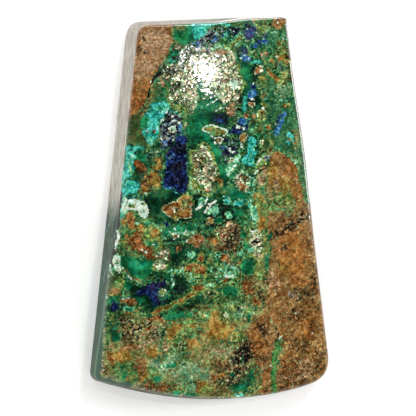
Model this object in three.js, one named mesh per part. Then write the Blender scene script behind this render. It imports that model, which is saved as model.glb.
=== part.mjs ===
// A polished azurite malachite stone: one solid slab cut to a keystone outline, with steep side
// walls and a low domed face, lying on its flat back.
// Millimetres, +Z up. The origin is the middle of the bounding box, on the flat back.
// +Y points at the narrow end and +X to the side with the broader rolled edge.

import * as THREE from 'three';
import { LoftGeometry } from 'three/addons/geometries/LoftGeometry.js';

// Corners of the outline where the sides would meet if none were rounded.
const HEAD_LEFT = new THREE.Vector2(-8.05, 18.45);
const HEAD_RIGHT = new THREE.Vector2(7.57, 19.05);
const FOOT_RIGHT = new THREE.Vector2(12.12, -16.95);
const FOOT_LEFT = new THREE.Vector2(-11.92, -16.78);

// The foot's edge is one bow between its two corners, pulled out towards a point, and this is
// how far its middle stands out past the line from corner to corner.
const BOW_PULL = new THREE.Vector2(0.4, -20.62);
const BOW_DEPTH = 2.1;

// How far along both of its sides the rounding of each corner reaches.
const HEAD_LEFT_REACH = 1.5;
const HEAD_RIGHT_REACH = 1.1;
const FOOT_RIGHT_REACH = 2.6;
const FOOT_LEFT_REACH = 0.9;

// Heights of the slab's edge, and how much the walls lean in as they rise.
const BACK_CHAMFER = 0.25;
const WALL_TOP = 3.9;
const WALL_LEAN_DEG = 5;

// The edge between wall and face is rolled over: barely on the left, broadly on the right,
// and most of all near the left corner of the foot.
const ROLL_DROP = 0.32;
const ROLL_LEFT = 0.16;
const ROLL_RIGHT = 0.5;
const CORNER_ROLL = 0.55;
const CORNER_ROLL_SPREAD = 4.5;

// How far the domed face rises above the rolled edge at its middle.
const CROWN_RISE = 0.98;

// Steps along the straight sides, the bow, the corners, the rolled edge and the crown.
const SIDE_STEPS = 12;
const BOW_STEPS = 20;
const CORNER_STEPS = 6;
const ROLL_STEPS = 3;
const CROWN_STEPS = 7;
const SUMMIT_SCALE = 0.1;

// The two ends of a corner's rounding, on the sides that lead to the neighbouring corners.
function rounding(corner, before, after, reach) {
	const along = (other) => other.clone().sub(corner).setLength(reach).add(corner);
	return { corner, start: along(before), end: along(after) };
}

// The slab's outline at its widest, anticlockwise from the left end of the bow.
function outlinePath() {
	const footRight = rounding(FOOT_RIGHT, BOW_PULL, HEAD_RIGHT, FOOT_RIGHT_REACH);
	const headRight = rounding(HEAD_RIGHT, FOOT_RIGHT, HEAD_LEFT, HEAD_RIGHT_REACH);
	const headLeft = rounding(HEAD_LEFT, HEAD_RIGHT, FOOT_LEFT, HEAD_LEFT_REACH);
	const footLeft = rounding(FOOT_LEFT, HEAD_LEFT, BOW_PULL, FOOT_LEFT_REACH);

	const path = new THREE.Path();
	path.moveTo(footLeft.end.x, footLeft.end.y);
	path.quadraticCurveTo(BOW_PULL.x, BOW_PULL.y, footRight.start.x, footRight.start.y);
	for (const { corner, start, end } of [footRight, headRight, headLeft, footLeft]) {
		if (!start.equals(path.currentPoint)) path.lineTo(start.x, start.y);
		path.quadraticCurveTo(corner.x, corner.y, end.x, end.y);
	}
	return path;
}

// The outline as points, closer together where it bends, each with its outward normal.
function outlinePoints(path) {
	const [bow, ...others] = path.curves;
	const points = bow.getSpacedPoints(BOW_STEPS).slice(1);
	for (const curve of others) {
		const steps = curve.isLineCurve ? SIDE_STEPS : CORNER_STEPS;
		points.push(...curve.getSpacedPoints(steps).slice(1));
	}
	return points.map((at, i) => {
		const before = points.at(i - 1);
		const after = points[(i + 1) % points.length];
		const normal = new THREE.Vector2(after.y - before.y, before.x - after.x).normalize();
		return { at, normal };
	});
}

// How wide the rolled edge is at one point of the outline.
function rollWidth({ at, normal }) {
	const side = (1 + normal.x) / 2;
	const fromFootLeft = at.distanceTo(FOOT_LEFT) / CORNER_ROLL_SPREAD;
	const cornerRoll = CORNER_ROLL * Math.exp(-fromFootLeft * fromFootLeft);
	return THREE.MathUtils.lerp(ROLL_LEFT, ROLL_RIGHT, side) + cornerRoll;
}

// How far along from one edge to the opposite one a place lies, as a parabola that is 0 at both
// edges and 1 halfway between them.
function arch(place, from, to) {
	const share = (place - from) / (to - from);
	return 4 * share * (1 - share);
}

// Where the straight line through two corners passes a given height or width of the outline.
function lineX(lower, upper, y) {
	return THREE.MathUtils.mapLinear(y, lower.y, upper.y, lower.x, upper.x);
}
function lineY(left, right, x) {
	return THREE.MathUtils.mapLinear(x, left.x, right.x, left.y, right.y);
}

// The height of the dome at one place: an arch from side to side times one from foot to head.
function crownHeight({ x, y }) {
	const across = arch(x, lineX(FOOT_LEFT, HEAD_LEFT, y), lineX(FOOT_RIGHT, HEAD_RIGHT, y));
	const bow = BOW_DEPTH * arch(x, FOOT_LEFT.x, FOOT_RIGHT.x);
	const along = arch(y, lineY(FOOT_LEFT, FOOT_RIGHT, x) - bow, lineY(HEAD_LEFT, HEAD_RIGHT, x));
	return CROWN_RISE * across * along;
}

// One ring of the surface. inset moves the outline in by a length, roll by a share of the rolled
// edge's width there, and scale then shrinks it towards the middle of the face. crown is the share
// of the dome's height that the ring is raised by.
function ring(outline, { inset = 0, roll = 0, scale = 1, height, crown = 0 }) {
	return outline.map((point) => {
		const depth = inset + roll * rollWidth(point);
		const at = point.at.clone().addScaledVector(point.normal, -depth).multiplyScalar(scale);
		return new THREE.Vector3(at.x, at.y, height + crown * crownHeight(at));
	});
}

// All the rings, from the edge of the flat back up to the summit of the face.
function stoneRings(outline) {
	const lean = (WALL_TOP - BACK_CHAMFER) * Math.tan(THREE.MathUtils.degToRad(WALL_LEAN_DEG));
	const rings = [
		ring(outline, { inset: BACK_CHAMFER, height: 0 }),
		ring(outline, { height: BACK_CHAMFER }),
		ring(outline, { inset: lean, height: WALL_TOP }),
	];
	for (let i = 1; i <= ROLL_STEPS; i++) {
		const turn = (i / ROLL_STEPS) * (Math.PI / 2);
		const rise = Math.sin(turn);
		const height = WALL_TOP + ROLL_DROP * rise;
		rings.push(ring(outline, { inset: lean, roll: 1 - Math.cos(turn), height, crown: rise }));
	}
	for (let i = 1; i <= CROWN_STEPS; i++) {
		const scale = THREE.MathUtils.lerp(1, SUMMIT_SCALE, i / CROWN_STEPS);
		const height = WALL_TOP + ROLL_DROP;
		rings.push(ring(outline, { inset: lean, roll: 1, scale, height, crown: 1 }));
	}
	return rings;
}

function stone() {
	const rings = stoneRings(outlinePoints(outlinePath()));
	const geometry = new LoftGeometry(rings, { capStart: true, capEnd: true });
	geometry.computeBoundingBox();
	const middle = geometry.boundingBox.getCenter(new THREE.Vector3());
	geometry.translate(-middle.x, -middle.y, 0);
	const material = new THREE.MeshStandardMaterial({
		color: '#5b7450',
		roughness: 0.18,
		metalness: 0,
	});
	const mesh = new THREE.Mesh(geometry, material);
	mesh.name = 'azurite_malachite_stone';
	return mesh;
}

const part = new THREE.Group();
part.name = 'polished_azurite_malachite';
part.add(stone());

export default part;
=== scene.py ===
import math
from collections import namedtuple

import bmesh
import bpy
import numpy as np
from mathutils import Matrix, Vector, noise


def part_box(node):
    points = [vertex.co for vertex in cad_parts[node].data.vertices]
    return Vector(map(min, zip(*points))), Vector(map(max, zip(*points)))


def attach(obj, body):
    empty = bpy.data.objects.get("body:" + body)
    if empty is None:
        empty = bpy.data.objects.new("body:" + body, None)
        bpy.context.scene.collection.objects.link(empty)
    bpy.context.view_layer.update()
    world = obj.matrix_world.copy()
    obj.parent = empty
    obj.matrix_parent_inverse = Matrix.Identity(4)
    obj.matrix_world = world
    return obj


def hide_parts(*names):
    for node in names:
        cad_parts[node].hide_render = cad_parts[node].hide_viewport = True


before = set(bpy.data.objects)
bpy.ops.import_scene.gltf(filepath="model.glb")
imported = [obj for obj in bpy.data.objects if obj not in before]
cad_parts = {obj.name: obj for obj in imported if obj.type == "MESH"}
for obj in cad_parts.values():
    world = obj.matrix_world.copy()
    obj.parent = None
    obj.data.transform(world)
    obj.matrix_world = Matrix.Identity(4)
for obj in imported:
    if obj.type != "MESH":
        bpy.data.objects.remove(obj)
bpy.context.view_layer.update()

bl_info = {
    "name": "Polished Azurite Malachite",
    "version": (1, 0, 0),
    "blender": (4, 5, 0),
    "location": "View3D > Sidebar > Stone",
    "description": "A keystone slab of polished azurite malachite and the table it lies on",
    "category": "Add Mesh",
}

STONE_NODE = "azurite_malachite_stone"
STONE_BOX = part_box(STONE_NODE)
MM = 0.001

# The keystone outline, in millimetres: where its sides would meet if no corner were rounded.
HEAD_LEFT = np.array((-8.05, 18.45))
HEAD_RIGHT = np.array((7.57, 19.05))
FOOT_RIGHT = np.array((12.12, -16.95))
FOOT_LEFT = np.array((-11.92, -16.78))

# How far along both of its sides the rounding of each corner reaches.
HEAD_LEFT_REACH = 1.5
HEAD_RIGHT_REACH = 1.1
FOOT_RIGHT_REACH = 2.6
FOOT_LEFT_REACH = 0.9

# The foot is one bow, pulled out towards a point, and this is how deep it bellies.
BOW_PULL = np.array((0.4, -20.62))
BOW_DEPTH = 2.1

# Below 1 the dome is flatter in the middle and rounder towards its edges.
CROWN_FLATNESS = 0.7

# The rolled edge: how far it drops, and how wide it is beside the left corner of the foot.
ROLL_DROP = 0.32
CORNER_ROLL = 0.55
CORNER_ROLL_SPREAD = 4.5
BACK_CHAMFER = 0.25

# The walls lose this share of their lean: the left one towards the foot, the head's towards its
# right corner, and the right one round a place along the stone, this far to both sides.
LEFT_UPRIGHT = 0.9
LEFT_UPRIGHT_FROM = (0, 6)
HEAD_UPRIGHT = 1.0
HEAD_UPRIGHT_FROM = (-1, 3.5)
RIGHT_UPRIGHT = 0.65
RIGHT_UPRIGHT_AT = 5.0
RIGHT_UPRIGHT_REACH = 9.0

# A wall counts as one side's own once it faces that side this squarely.
FACING = 0.9

# The wall of the wide end, below this place along the stone, keeps the colour of its rock, darkened by
# painted shade.
FOOT_WALL = -16.7

# The mesh: cells across and along the face, rings down the side, and the coarser back.
CELLS_ACROSS = 176
CELLS_ALONG = 300
ROLL_RINGS = 5
WALL_RINGS = 16
BACK_COARSER = 4
BACK_BAND = 0.7

# How dull the ground wall is.
WALL_ROUGHNESS = 0.8

# The polished skin is kept this far inside the solid it stands for.
SKIN_GAP = 0.015

# How far a growth drifts sideways for each millimetre it runs down into the stone, and how
# strongly it twists there, so that the back shows other shapes than the face.
DRIFT = np.array((0.45, 0.3))
TWIST = 1.1
TWIST_SCALE = 0.16

# The rolled edge is this deep, and a growth runs straight down through it.
UNTWISTED = 0.35

# How far a growth's edge wobbles, in millimetres, and how many wobbles a millimetre has.
EDGE_WOBBLES = ((0.2, 1.1), (0.09, 3.2))

# The rolled edge turns into wall from this far below the face on, over this height.
SIDE_FROM = 0.03
SIDE_OVER = 0.4

# The wobbles of growths and relief are drawn from this seed, so that each run gives the same.
NOISE_SEED = 1

# How far the surface sinks: soft minerals, coarse rock, and the saw marks of the wall.
SOFT_DEPTH = 0.006
COARSE_DEPTH = 0.004
MARK_DEPTH = 0.012

# A growth is followed no further than this from its edge.
FAR = 1.0

# The widths of the rim of another mineral that runs round some growths, unless the growth says
# otherwise, and of the halo outside that rim.
RIM_WIDTH = 0.12
HALO_WIDTH = 0.18

# How much of each end of an outline's side is cut off to soften the corners.
CORNER_CUT = 0.22


# ---------------------------------------------------------------------------------------------
# Growths: the patches, spots and seams of mineral, placed on the face in millimetres.


class Growth:
    """One area of a mineral, with a rim and a halo of other minerals round it if it has them.

    A fade above 1 makes its edge run out that many times more slowly than the mineral's own."""

    def __init__(self, mineral, rim=None, rim_width=RIM_WIDTH, fade=1.0, halo=None):
        self.mineral = mineral
        self.rim = rim
        self.rim_width = rim_width if rim else 0.0
        self.fade = fade
        self.halo = halo

    def near(self, places):
        margin = FAR * self.fade + self.rim_width + HALO_WIDTH
        low, high = self.box()
        return np.nonzero(
            (places[:, 0] > low[0] - margin)
            & (places[:, 0] < high[0] + margin)
            & (places[:, 1] > low[1] - margin)
            & (places[:, 1] < high[1] + margin)
        )[0]


class Spot(Growth):
    """An oval: its middle, its length and width, and its turn in degrees."""

    def __init__(self, mineral, x, y, long, wide=None, turn=0.0, **edges):
        super().__init__(mineral, **edges)
        self.middle = np.array((x, y))
        self.half = np.array((long / 2, (wide or long) / 2))
        self.turn = math.radians(turn)

    def box(self):
        reach = self.half.max()
        return self.middle - reach, self.middle + reach

    def depth(self, places):
        offset = places - self.middle
        cos, sin = math.cos(self.turn), math.sin(self.turn)
        along = offset[:, 0] * cos + offset[:, 1] * sin
        across = offset[:, 1] * cos - offset[:, 0] * sin
        scaled = np.hypot(along / self.half[0], across / self.half[1])
        steep = np.hypot(along / self.half[0] ** 2, across / self.half[1] ** 2)
        return np.where(
            scaled > 1e-3,
            scaled * (1 - scaled) / np.maximum(steep, 1e-6),
            self.half.min(),
        )


def edge_distance(places, start, end):
    """How far each place is from the straight line between two points."""
    run = end - start
    share = np.clip((places - start) @ run / max(run @ run, 1e-9), 0, 1)
    return np.linalg.norm(places - start - share[:, None] * run, axis=1)


def softened(corners):
    """A closed outline with every corner cut off, so that it turns more gently."""
    after = np.roll(corners, -1, axis=0)
    cut = np.empty((2 * len(corners), 2))
    cut[0::2] = (1 - CORNER_CUT) * corners + CORNER_CUT * after
    cut[1::2] = CORNER_CUT * corners + (1 - CORNER_CUT) * after
    return cut


class Patch(Growth):
    """A closed outline with a few corners."""

    def __init__(self, mineral, *corners, **edges):
        super().__init__(mineral, **edges)
        self.corners = softened(np.array(corners, float))

    def box(self):
        return self.corners.min(0), self.corners.max(0)

    def depth(self, places):
        nearest = np.full(len(places), np.inf)
        inside = np.zeros(len(places), bool)
        for start, end in zip(self.corners, np.roll(self.corners, -1, axis=0)):
            nearest = np.minimum(nearest, edge_distance(places, start, end))
            crosses = (start[1] > places[:, 1]) != (end[1] > places[:, 1])
            rise = end[1] - start[1] or 1e-9
            where = start[0] + (places[:, 1] - start[1]) * (end[0] - start[0]) / rise
            inside ^= crosses & (places[:, 0] < where)
        return np.where(inside, nearest, -nearest)


class Seam(Growth):
    """A band of one width along a few points."""

    def __init__(self, mineral, width, *points, **edges):
        super().__init__(mineral, **edges)
        self.width = width
        self.points = np.array(points, float)

    def box(self):
        return self.points.min(0) - self.width / 2, self.points.max(0) + self.width / 2

    def depth(self, places):
        nearest = np.full(len(places), np.inf)
        for start, end in zip(self.points, self.points[1:]):
            nearest = np.minimum(nearest, edge_distance(places, start, end))
        return self.width / 2 - nearest


def spots(mineral, *ovals, **edges):
    """Several spots of one mineral with the same edges, each by its middle, size and turn."""
    return [Spot(mineral, *oval, **edges) for oval in ovals]


def seams(mineral, width, *runs, **edges):
    """Several seams of one mineral with the same width and edges, each by its points."""
    return [Seam(mineral, width, *run, **edges) for run in runs]


# The broad areas that everything else grew on.
GROUNDS = [
    Patch("lace", (-4.9, -5.1), (-3.2, -4.9), (-1, -4.1), (2.2, -4.5), (4.6, -4.3), (4.8, -9.3),
        (0, -9.6), (-2.2, -8.1), (-4.4, -7.7)),
    Patch("jade", (4.3, 15.2), (6.2, 15.4), (6.4, 13), (5.2, 12.6), (4.4, 13.4), fade=2),
    Patch("lace", (6, 15.8), (7.4, 16.2), (7.5, 12.4), (6.2, 12.4), (5.6, 13.4)),
    Patch("jade", (4.9, 12.4), (6, 12.6), (7.6, 12.2), (8, 9.6), (8.4, 7.4), (6.6, 7.4), (5.4, 8.9),
        (4.9, 10)),
    Patch("jade", (4.4, 17.3), (5.6, 17.8), (7, 17.8), (7, 16.6), (6.2, 16.4), (5.8, 15.1),
        (4.6, 15.1), (4, 16.2), fade=2),
    Patch("deep", (2.3, 14.8), (4.4, 13.8), (4.9, 12.4), (4.9, 10), (4.9, 7.2), (4, 9.6), (2.4, 10.2),
        (2.3, 12.4)),
    Patch("deep", (-3, 9.8), (2, 9.6), (1.3, 8.5), (0.3, 7.1), (0, 5.2), (0.6, 3.6), (1.5, 2.8),
        (-0.6, 1.9), (-1, 1.4), (2.8, 2.1), (3, -0.8), (0.5, -0.7), (-2.5, -1.4), (-7, -1.2),
        (-7.2, 2), (-5.8, 2.4), (-3, 2), (-2.9, 5.8), (-3.1, 7.2)),
    Patch("deep", (-5, -3), (-3.4, -3.3), (-1.8, -3.6), (-1.9, -4.8), (-3, -5), (-4.8, -5), (-5, -6.6),
        (-6.4, -6.6), (-6.2, -5.6), (-4.9, -4.8)),
    Patch("deep", (-9, -7), (-7.6, -7.3), (-4.6, -8.7), (-2.4, -7.5), (-2, -8.6), (-5.6, -10.4),
        (-8, -10.6), (-8.6, -9)),
    Patch("deep", (-8.3, 5.6), (-6.9, 5.6), (-6.6, 3.6), (-7.3, 2.6), (-9.4, 1.9), (-8.4, 3.4)),
    Patch("olive", (-12.9, -11), (-9.8, -10), (-7, -10.7), (-5.4, -10.5), (-3, -10.2), (-1, -9.6),
        (1.2, -9.3), (3.4, -9.5), (3.4, -7.6), (3.9, -5.6), (3.3, -3), (3, -1.8), (4.6, -1.8),
        (5.2, -3), (5, -7), (4.8, -12.6), (4.2, -15.4), (4.4, -19.8), (-13, -19.4)),
    Patch("iron", (5.1, 5.2), (6.1, 5.7), (6.9, 5.3), (7.6, 4.8), (8.1, 4.3), (8.3, 3), (8.7, 1.4),
        (9.1, 0.2), (13, -0.5), (13.5, -19.8), (4.6, -19.8), (4.3, -17.4), (4.2, -15.2), (3.4, -14.2),
        (3.1, -12.7), (3.3, -11.2), (4.6, -10.6), (4.9, -8.6), (5.1, -6.1), (5.5, -4.1), (5.2, -2.7),
        (4.9, -1.4), (5, 0.6), (5, 2.6), (5.1, 4.2)),
    Patch("iron", (-9.6, 20.2), (-4.1, 20.2), (-4.2, 18.4), (-4.35, 17.4), (-4.45, 16.2), (-4.9, 15.5),
        (-5.3, 14.7), (-6, 13.5), (-6.45, 12.9), (-6.6, 11.8), (-6.9, 10.8), (-7.9, 9.4), (-8.9, 8.7),
        (-10, 8.9)),
]


# Growths in the narrow third of the face.
HEAD_GROWTHS = [
    # Within the brown wedge of the left corner.
    Patch("tan", (-7.8, 17.7), (-6.4, 17.8), (-4.8, 17.4), (-4.6, 16.3), (-5.4, 14.9), (-6.2, 13.6),
        (-7, 12.8), (-8, 12.5), (-8.2, 14.4), (-7.8, 15.4), fade=2),
    Patch("sienna", (-9.3, 9), (-8, 9.4), (-7, 10.7), (-6.8, 11.6), (-8, 11.7), (-9.3, 12.2),
        fade=1.5),
    Patch("rust", (-8.9, 9.2), (-8.1, 9.6), (-7.3, 10.6), (-7.5, 11.2), (-8.5, 10.9), fade=2),
    Seam("sienna", 0.7, (-8, 17.9), (-8.3, 15), (-8.7, 12), fade=1.5),
    Seam("sienna", 0.5, (-8, 18.1), (-6.4, 18.3), (-4.5, 18.3), fade=2),
    Spot("sienna", -6.9, 12.3, 0.9, 0.8, fade=2),
    Seam("ink", 0.12, (-7.35, 16.9), (-7.15, 16.4)),
    *spots("ink", (-7.5, 15.7, 0.4, 0.2), (-7, 15.35, 0.5, 0.2, -20), fade=1.5),
    Seam("black", 0.2, (-6.75, 11), (-6.62, 11.7), (-6.5, 12.3)),
    Seam("black", 0.34, (-6.45, 12.6), (-6.1, 13.1), (-5.75, 13.4)),
    Seam("black", 0.16, (-5.6, 13.6), (-5.2, 14.3)),
    Seam("rust", 0.14, (-8.93, 8.4), (-9.05, 7.4), (-9.1, 6.6)),
    # Green and turquoise along the head.
    Patch("emerald", (-4.15, 18.1), (-2.6, 18.2), (-2.1, 17.2), (-2.5, 16.4), (-3.4, 16.3),
        (-4.1, 16.7), fade=1.5),
    Spot("olive", -3.6, 17.9, 1.2, 1, 5, fade=3),
    Spot("umber", -3.7, 16, 1, 0.6, -20, fade=1.5),
    Patch("turquoise", (-2.5, 18.4), (-0.8, 18.9), (1.1, 18.8), (1, 18.3), (0.1, 18.1), (-0.6, 18.1),
        (-1.2, 17.6), (-1.5, 17), (-2, 16.7), (-2.4, 17.2)),
    Spot("crust", -0.3, 18.6, 0.9, 0.16, 4),
    Spot("turquoise", -1.5, 17.4, 1.5, 1.3, 40, fade=1.5),
    Patch("slate", (-0.9, 17.3), (-0.6, 17.9), (0.8, 18), (1.2, 17.6), (0.6, 17), (0.1, 16.5),
        (-0.5, 16), (-0.8, 15.3), (-1.8, 15.6), (-2.5, 16.1), (-2, 16.5)),
    *spots("cobalt", (-2, 16.3, 0.7, 0.34), (0, 16.75, 1, 0.26, 30), fade=2),
    Spot("grit", 0.2, 17.7, 0.9, 0.5, 10, fade=1.5),
    Seam("sage", 0.1, (-2.4, 16.5), (-1.6, 16), (-1, 15.4)),
    Seam("sage", 0.08, (-1, 16.3), (-0.2, 16.7), (0.6, 17)),
    Patch("navy", (0.6, 17.2), (1.3, 18), (2.3, 18), (2.5, 17.3), (1.6, 17)),
    Spot("turquoise", 1.2, 18.2, 0.9, 0.2, fade=2),
    Spot("turquoise", 1, 17.2, 0.8, 0.5, 20, fade=3),
    Spot("lime", 1.85, 18.5, 1.1, 0.35, fade=1.5),
    Spot("ochre", 3.9, 18.65, 0.7, 0.22, 4),
    *spots("plum", (3.4, 17.4, 1.4, 1.6), (4.35, 16.4, 1, 0.5, 32), fade=1.5),
    Seam("sage", 0.07, (3.9, 18.4), (4.2, 17.4), (4.5, 17)),
    Seam("mint", 0.07, (4.2, 18.1), (4.9, 17.6), (5.4, 17.2), (5.6, 16.6)),
    Patch("moss", (3.9, 18.4), (5.6, 18.8), (5.8, 18.1), (5.3, 17.4), (4.2, 17.5)),
    Seam("ink", 0.18, (4.3, 18.35), (4.9, 18.25), (5.4, 18.1)),
    Spot("plum", 4.9, 17.2, 0.5, 0.3, 10, fade=1.5),
    Patch("iron", (5.5, 19.4), (7.2, 19.4), (7, 18), (6.2, 17.8), (5.7, 18.1)),
    *seams("mint", 0.06, [(5.6, 17.3), (6.3, 17.5), (6.9, 17.2)], [(5.8, 17), (6.5, 17.1),
        (6.95, 16.8)]),
    Seam("lime", 0.46, (1.5, 16.05), (2, 16.5), (2.45, 16.9), rim="mint"),
    Spot("ochre", 2.35, 16.85, 0.3, 0.34),
    Spot("ochre", 1.8, 16.3, 0.5, 0.2, 40, fade=1.5),
    Spot("cobalt", 4.85, 16.6, 0.5, 0.4, 20, fade=1.5),
    Spot("cobalt", 4, 16.2, 0.4, 0.3, 40, fade=2),
    Spot("mint", 3.75, 16.6, 0.3, 0.4),
    Patch("plum", (2.2, 15.6), (2.6, 16), (3.1, 15.9), (3.1, 15.4), (2.6, 15.2), fade=1.5),
    Patch("cobalt", (2.3, 15), (2.8, 15.3), (3.4, 15), (3.3, 14.6), (2.7, 14.6)),
    *spots("ink", (-0.6, 17.1, 0.7, 0.4, 30), (2.3, 15.05, 0.4, 0.2), fade=1.5),
    *spots("crust", (1.45, 17.65, 0.16), (1.85, 17.6, 0.2, 0.12), (2.3, 17.45, 0.12),
        (4.1, 17.3, 0.2, 0.3, 30), (3.15, 17.8, 0.12), (6.3, 18.4, 0.14), (6.1, 18.85, 0.12),
        (6.75, 16.75, 0.16, 0.3), (4.8, 16.8, 0.16), (2.8, 15.1, 0.16, 0.12),
        (3.1, 14.8, 0.2, 0.12, 40), (2.5, 14.85, 0.12)),
    Seam("turquoise", 0.2, (3.4, 14.5), (4, 14.6), (4.4, 14.3), fade=2),
    Spot("moss", 3.6, 15.4, 0.9, 0.4, -40, fade=1.5),
    Seam("mint", 0.07, (3, 16.2), (3.6, 15.6), (3.9, 15.1)),
    Seam("lime", 0.07, (4.2, 14.9), (4.9, 14.5), (5.1, 14)),
    Spot("moss", 4.5, 12.3, 0.9, 0.8, fade=2),
    Spot("sand", 4.7, 15.25, 0.6, 0.25, fade=2),
    # The dark green pocket and the coarse grey rock between wedge and dome.
    Patch("emerald", (-4.85, 14.9), (-4.5, 15.5), (-3.9, 15.8), (-3.5, 15.4), (-3.6, 14.8),
        (-4.2, 14.4), (-4.6, 14.4)),
    Spot("turquoise", -4.5, 14.65, 0.6, 0.35, 10),
    Spot("azurite", -4, 15.05, 0.4, 0.25, 30),
    Patch("grit", (-5.4, 14.1), (-4.4, 14.3), (-3.5, 13.9), (-3.7, 12.9), (-4.6, 12.6), (-5.6, 13),
        fade=1.5),
    Patch("sand", (-5.9, 12.9), (-5.2, 12.9), (-5.1, 12.3), (-5.6, 12.2), fade=1.5),
    Patch("emerald", (-6.1, 11.8), (-5.2, 12.2), (-4.9, 11.2), (-5, 10.5), (-6.2, 10.5)),
    *spots("deep", (-4.2, 14.9, 0.8, 0.6), (-5.6, 11.3, 1.1, 1.6, 10), fade=1.5),
    Spot("fern", -6.2, 11.6, 0.8, 1.6, -20, fade=1.5),
    Seam("olive", 0.4, (-6.35, 12.2), (-6.45, 11), (-6.8, 10.3), (-7.6, 9.3)),
    # The coarse pale rock under the dome's highest shine.
    Patch("clast", (-4.5, 13), (-3.3, 13.8), (-3.2, 15.2), (-2, 15.6), (-0.6, 15.4), (0, 15.9),
        (1.3, 15.8), (2, 15.2), (2, 14.2), (2.2, 13.4), (2.65, 12.5), (2.3, 11.5), (2.4, 10.3),
        (1.6, 10.5), (0.8, 10.2), (0, 11.2), (-1.4, 11.8), (-1.8, 11), (-2.1, 10.2), (-2.3, 9.4),
        (-3.3, 9.5), (-4.4, 10), (-4.9, 11.2), (-4.6, 12.2)),
    Seam("grit", 0.6, (-3.5, 13.9), (-3.4, 15.3), (-2.4, 15.8), (-0.7, 15.6), fade=2),
    *seams("lime", 0.24, [(2.1, 14.2), (2.3, 13.4), (2.75, 12.5), (2.45, 11.5)], [(-5, 11.3),
        (-4.5, 10), (-3.4, 9.4), (-2.4, 9.3)]),
    Spot("tan", 0.5, 15.5, 1.5, 0.7, 5, fade=1.5),
    Spot("tan", 1.35, 9.75, 0.8, 1.2, 10),
    Seam("mint", 0.24, (-0.5, 15.7), (0.2, 16.05), (1, 15.95), fade=1.5),
    Seam("lime", 0.3, (0.8, 16), (1.6, 15.8), (2.05, 15.1), (2.1, 14.2), fade=1.5),
    Spot("grit", -3.1, 15.1, 1.2, 1, 30, fade=4),
    Spot("grit", -4.1, 12, 1.4, 1, 30, fade=3),
    Spot("grit", -3.7, 10.7, 1.6, 1.2, -30, fade=4.5),
    Spot("lime", -3.5, 9.9, 1.7, 0.6, -25, fade=2),
    Patch("emerald", (-1.5, 12.9), (-1.9, 12.5), (-1.9, 11.6), (-1.7, 10.8), (-1.3, 11.6)),
    Seam("lime", 0.18, (0, 11.5), (0.9, 11.95)),
    Spot("crust", 1.8, 12.3, 0.9, 0.6, -20, fade=3),
    Seam("ink", 0.16, (-4.6, 12.2), (-4, 12.1), (-3.6, 12.4)),
    Patch("deep", (-1.6, 10.8), (0, 11), (0.6, 10.4), (-0.2, 9.9), (-1.4, 10.2)),
    *seams("crust", 0.08, [(-1.1, 10.2), (-0.3, 10.5), (0.2, 10.9)], [(-1.3, 10.9), (-0.7, 10.95),
        (-0.2, 11.25)], [(-1, 11.3), (-0.4, 11.45), (0.4, 11.3)]),
    Seam("crust", 0.06, (-0.1, 9.7), (0.6, 10.1), (0.9, 10.2)),
    Spot("viridian", -0.9, 10.1, 1.3, 0.7, 10, fade=3),
    Spot("emerald", 3.1, 13.6, 1.3, 1.5, fade=3),
    Spot("emerald", 2.2, 14.9, 0.5, 0.9, fade=2),
    Spot("deep", 5.6, 11.3, 0.9, fade=3),
    Spot("sage", 6.8, 12.1, 1.1, 1.3, 20, fade=3),
    # Small nodules in the green towards the right.
    Spot("rust", 4.25, 13.65, 0.85, 0.5, 35, rim="clast", rim_width=0.14),
    *spots("ochre", (4.6, 12.85, 0.65, 0.36), (4.75, 10.3, 0.3, 0.26), rim="lime"),
    Seam("rust", 0.34, (5.25, 13.55), (5.7, 13.25), (6.15, 12.85), rim="lime"),
    *spots("rust", (5.6, 14.5, 0.4, 0.32, -30), (7, 10.15, 0.85, 0.26), rim="lime"),
    Patch("ochre", (5.9, 15.2), (7.2, 15.3), (7.5, 14.6), (6.9, 14.4), (6.1, 14.6), fade=2),
    Seam("umber", 0.3, (6.9, 16.4), (7.2, 14.6), (7.5, 13), fade=1.5),
    Spot("lime", 6.7, 15.5, 0.4, 0.3, fade=1.5),
    *spots("iron", (6.4, 16.2, 0.7, 0.35, -60), (6.8, 13.3, 0.6, 0.35), rim="lime"),
    Spot("lime", 6.6, 12.6, 0.9, 0.5, 20),
    Seam("mint", 0.22, (5.9, 10.3), (6.6, 10.05), (7.3, 9.8), (7.7, 9.3), (7.8, 8.8)),
    Seam("mint", 0.1, (6.4, 10.9), (6.9, 10.6), (7.3, 10.6)),
    Spot("slate", 6.5, 14, 0.5, 0.6, fade=1.5),
    Spot("ink", 6, 13.9, 0.35, 0.3, fade=1.5),
    Spot("cobalt", 3.6, 11.4, 1, 0.75, -20),
    *spots("azurite", (3.25, 11.6, 0.3), (3.65, 12.1, 0.5, 0.6), fade=1.5),
    *spots("crust", (6.15, 15, 0.24, 0.3), (3.6, 12.4, 0.14, 0.3, -30),
        (3.65, 10.87, 0.42, 0.14, -15)),
    Spot("olive", 4.75, 11.2, 0.6, 0.8, rim="mint", rim_width=0.06),
    Spot("umber", 4.75, 11.1, 0.3),
    Seam("turquoise", 0.36, (2.95, 11), (2.85, 10.4), (2.8, 9.9)),
    Spot("rust", 3.5, 10.35, 0.4, 0.34, rim="clast"),
    Seam("ink", 0.22, (2.45, 11.2), (2.35, 10.4), (2.2, 9.8), (2.4, 9.4), fade=1.5),
    Seam("ink", 0.16, (3.9, 14.1), (3.65, 13.5), (3.6, 13.1), fade=1.5),
    Seam("ink", 0.12, (4, 13.1), (4.3, 13.25)),
]


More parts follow.
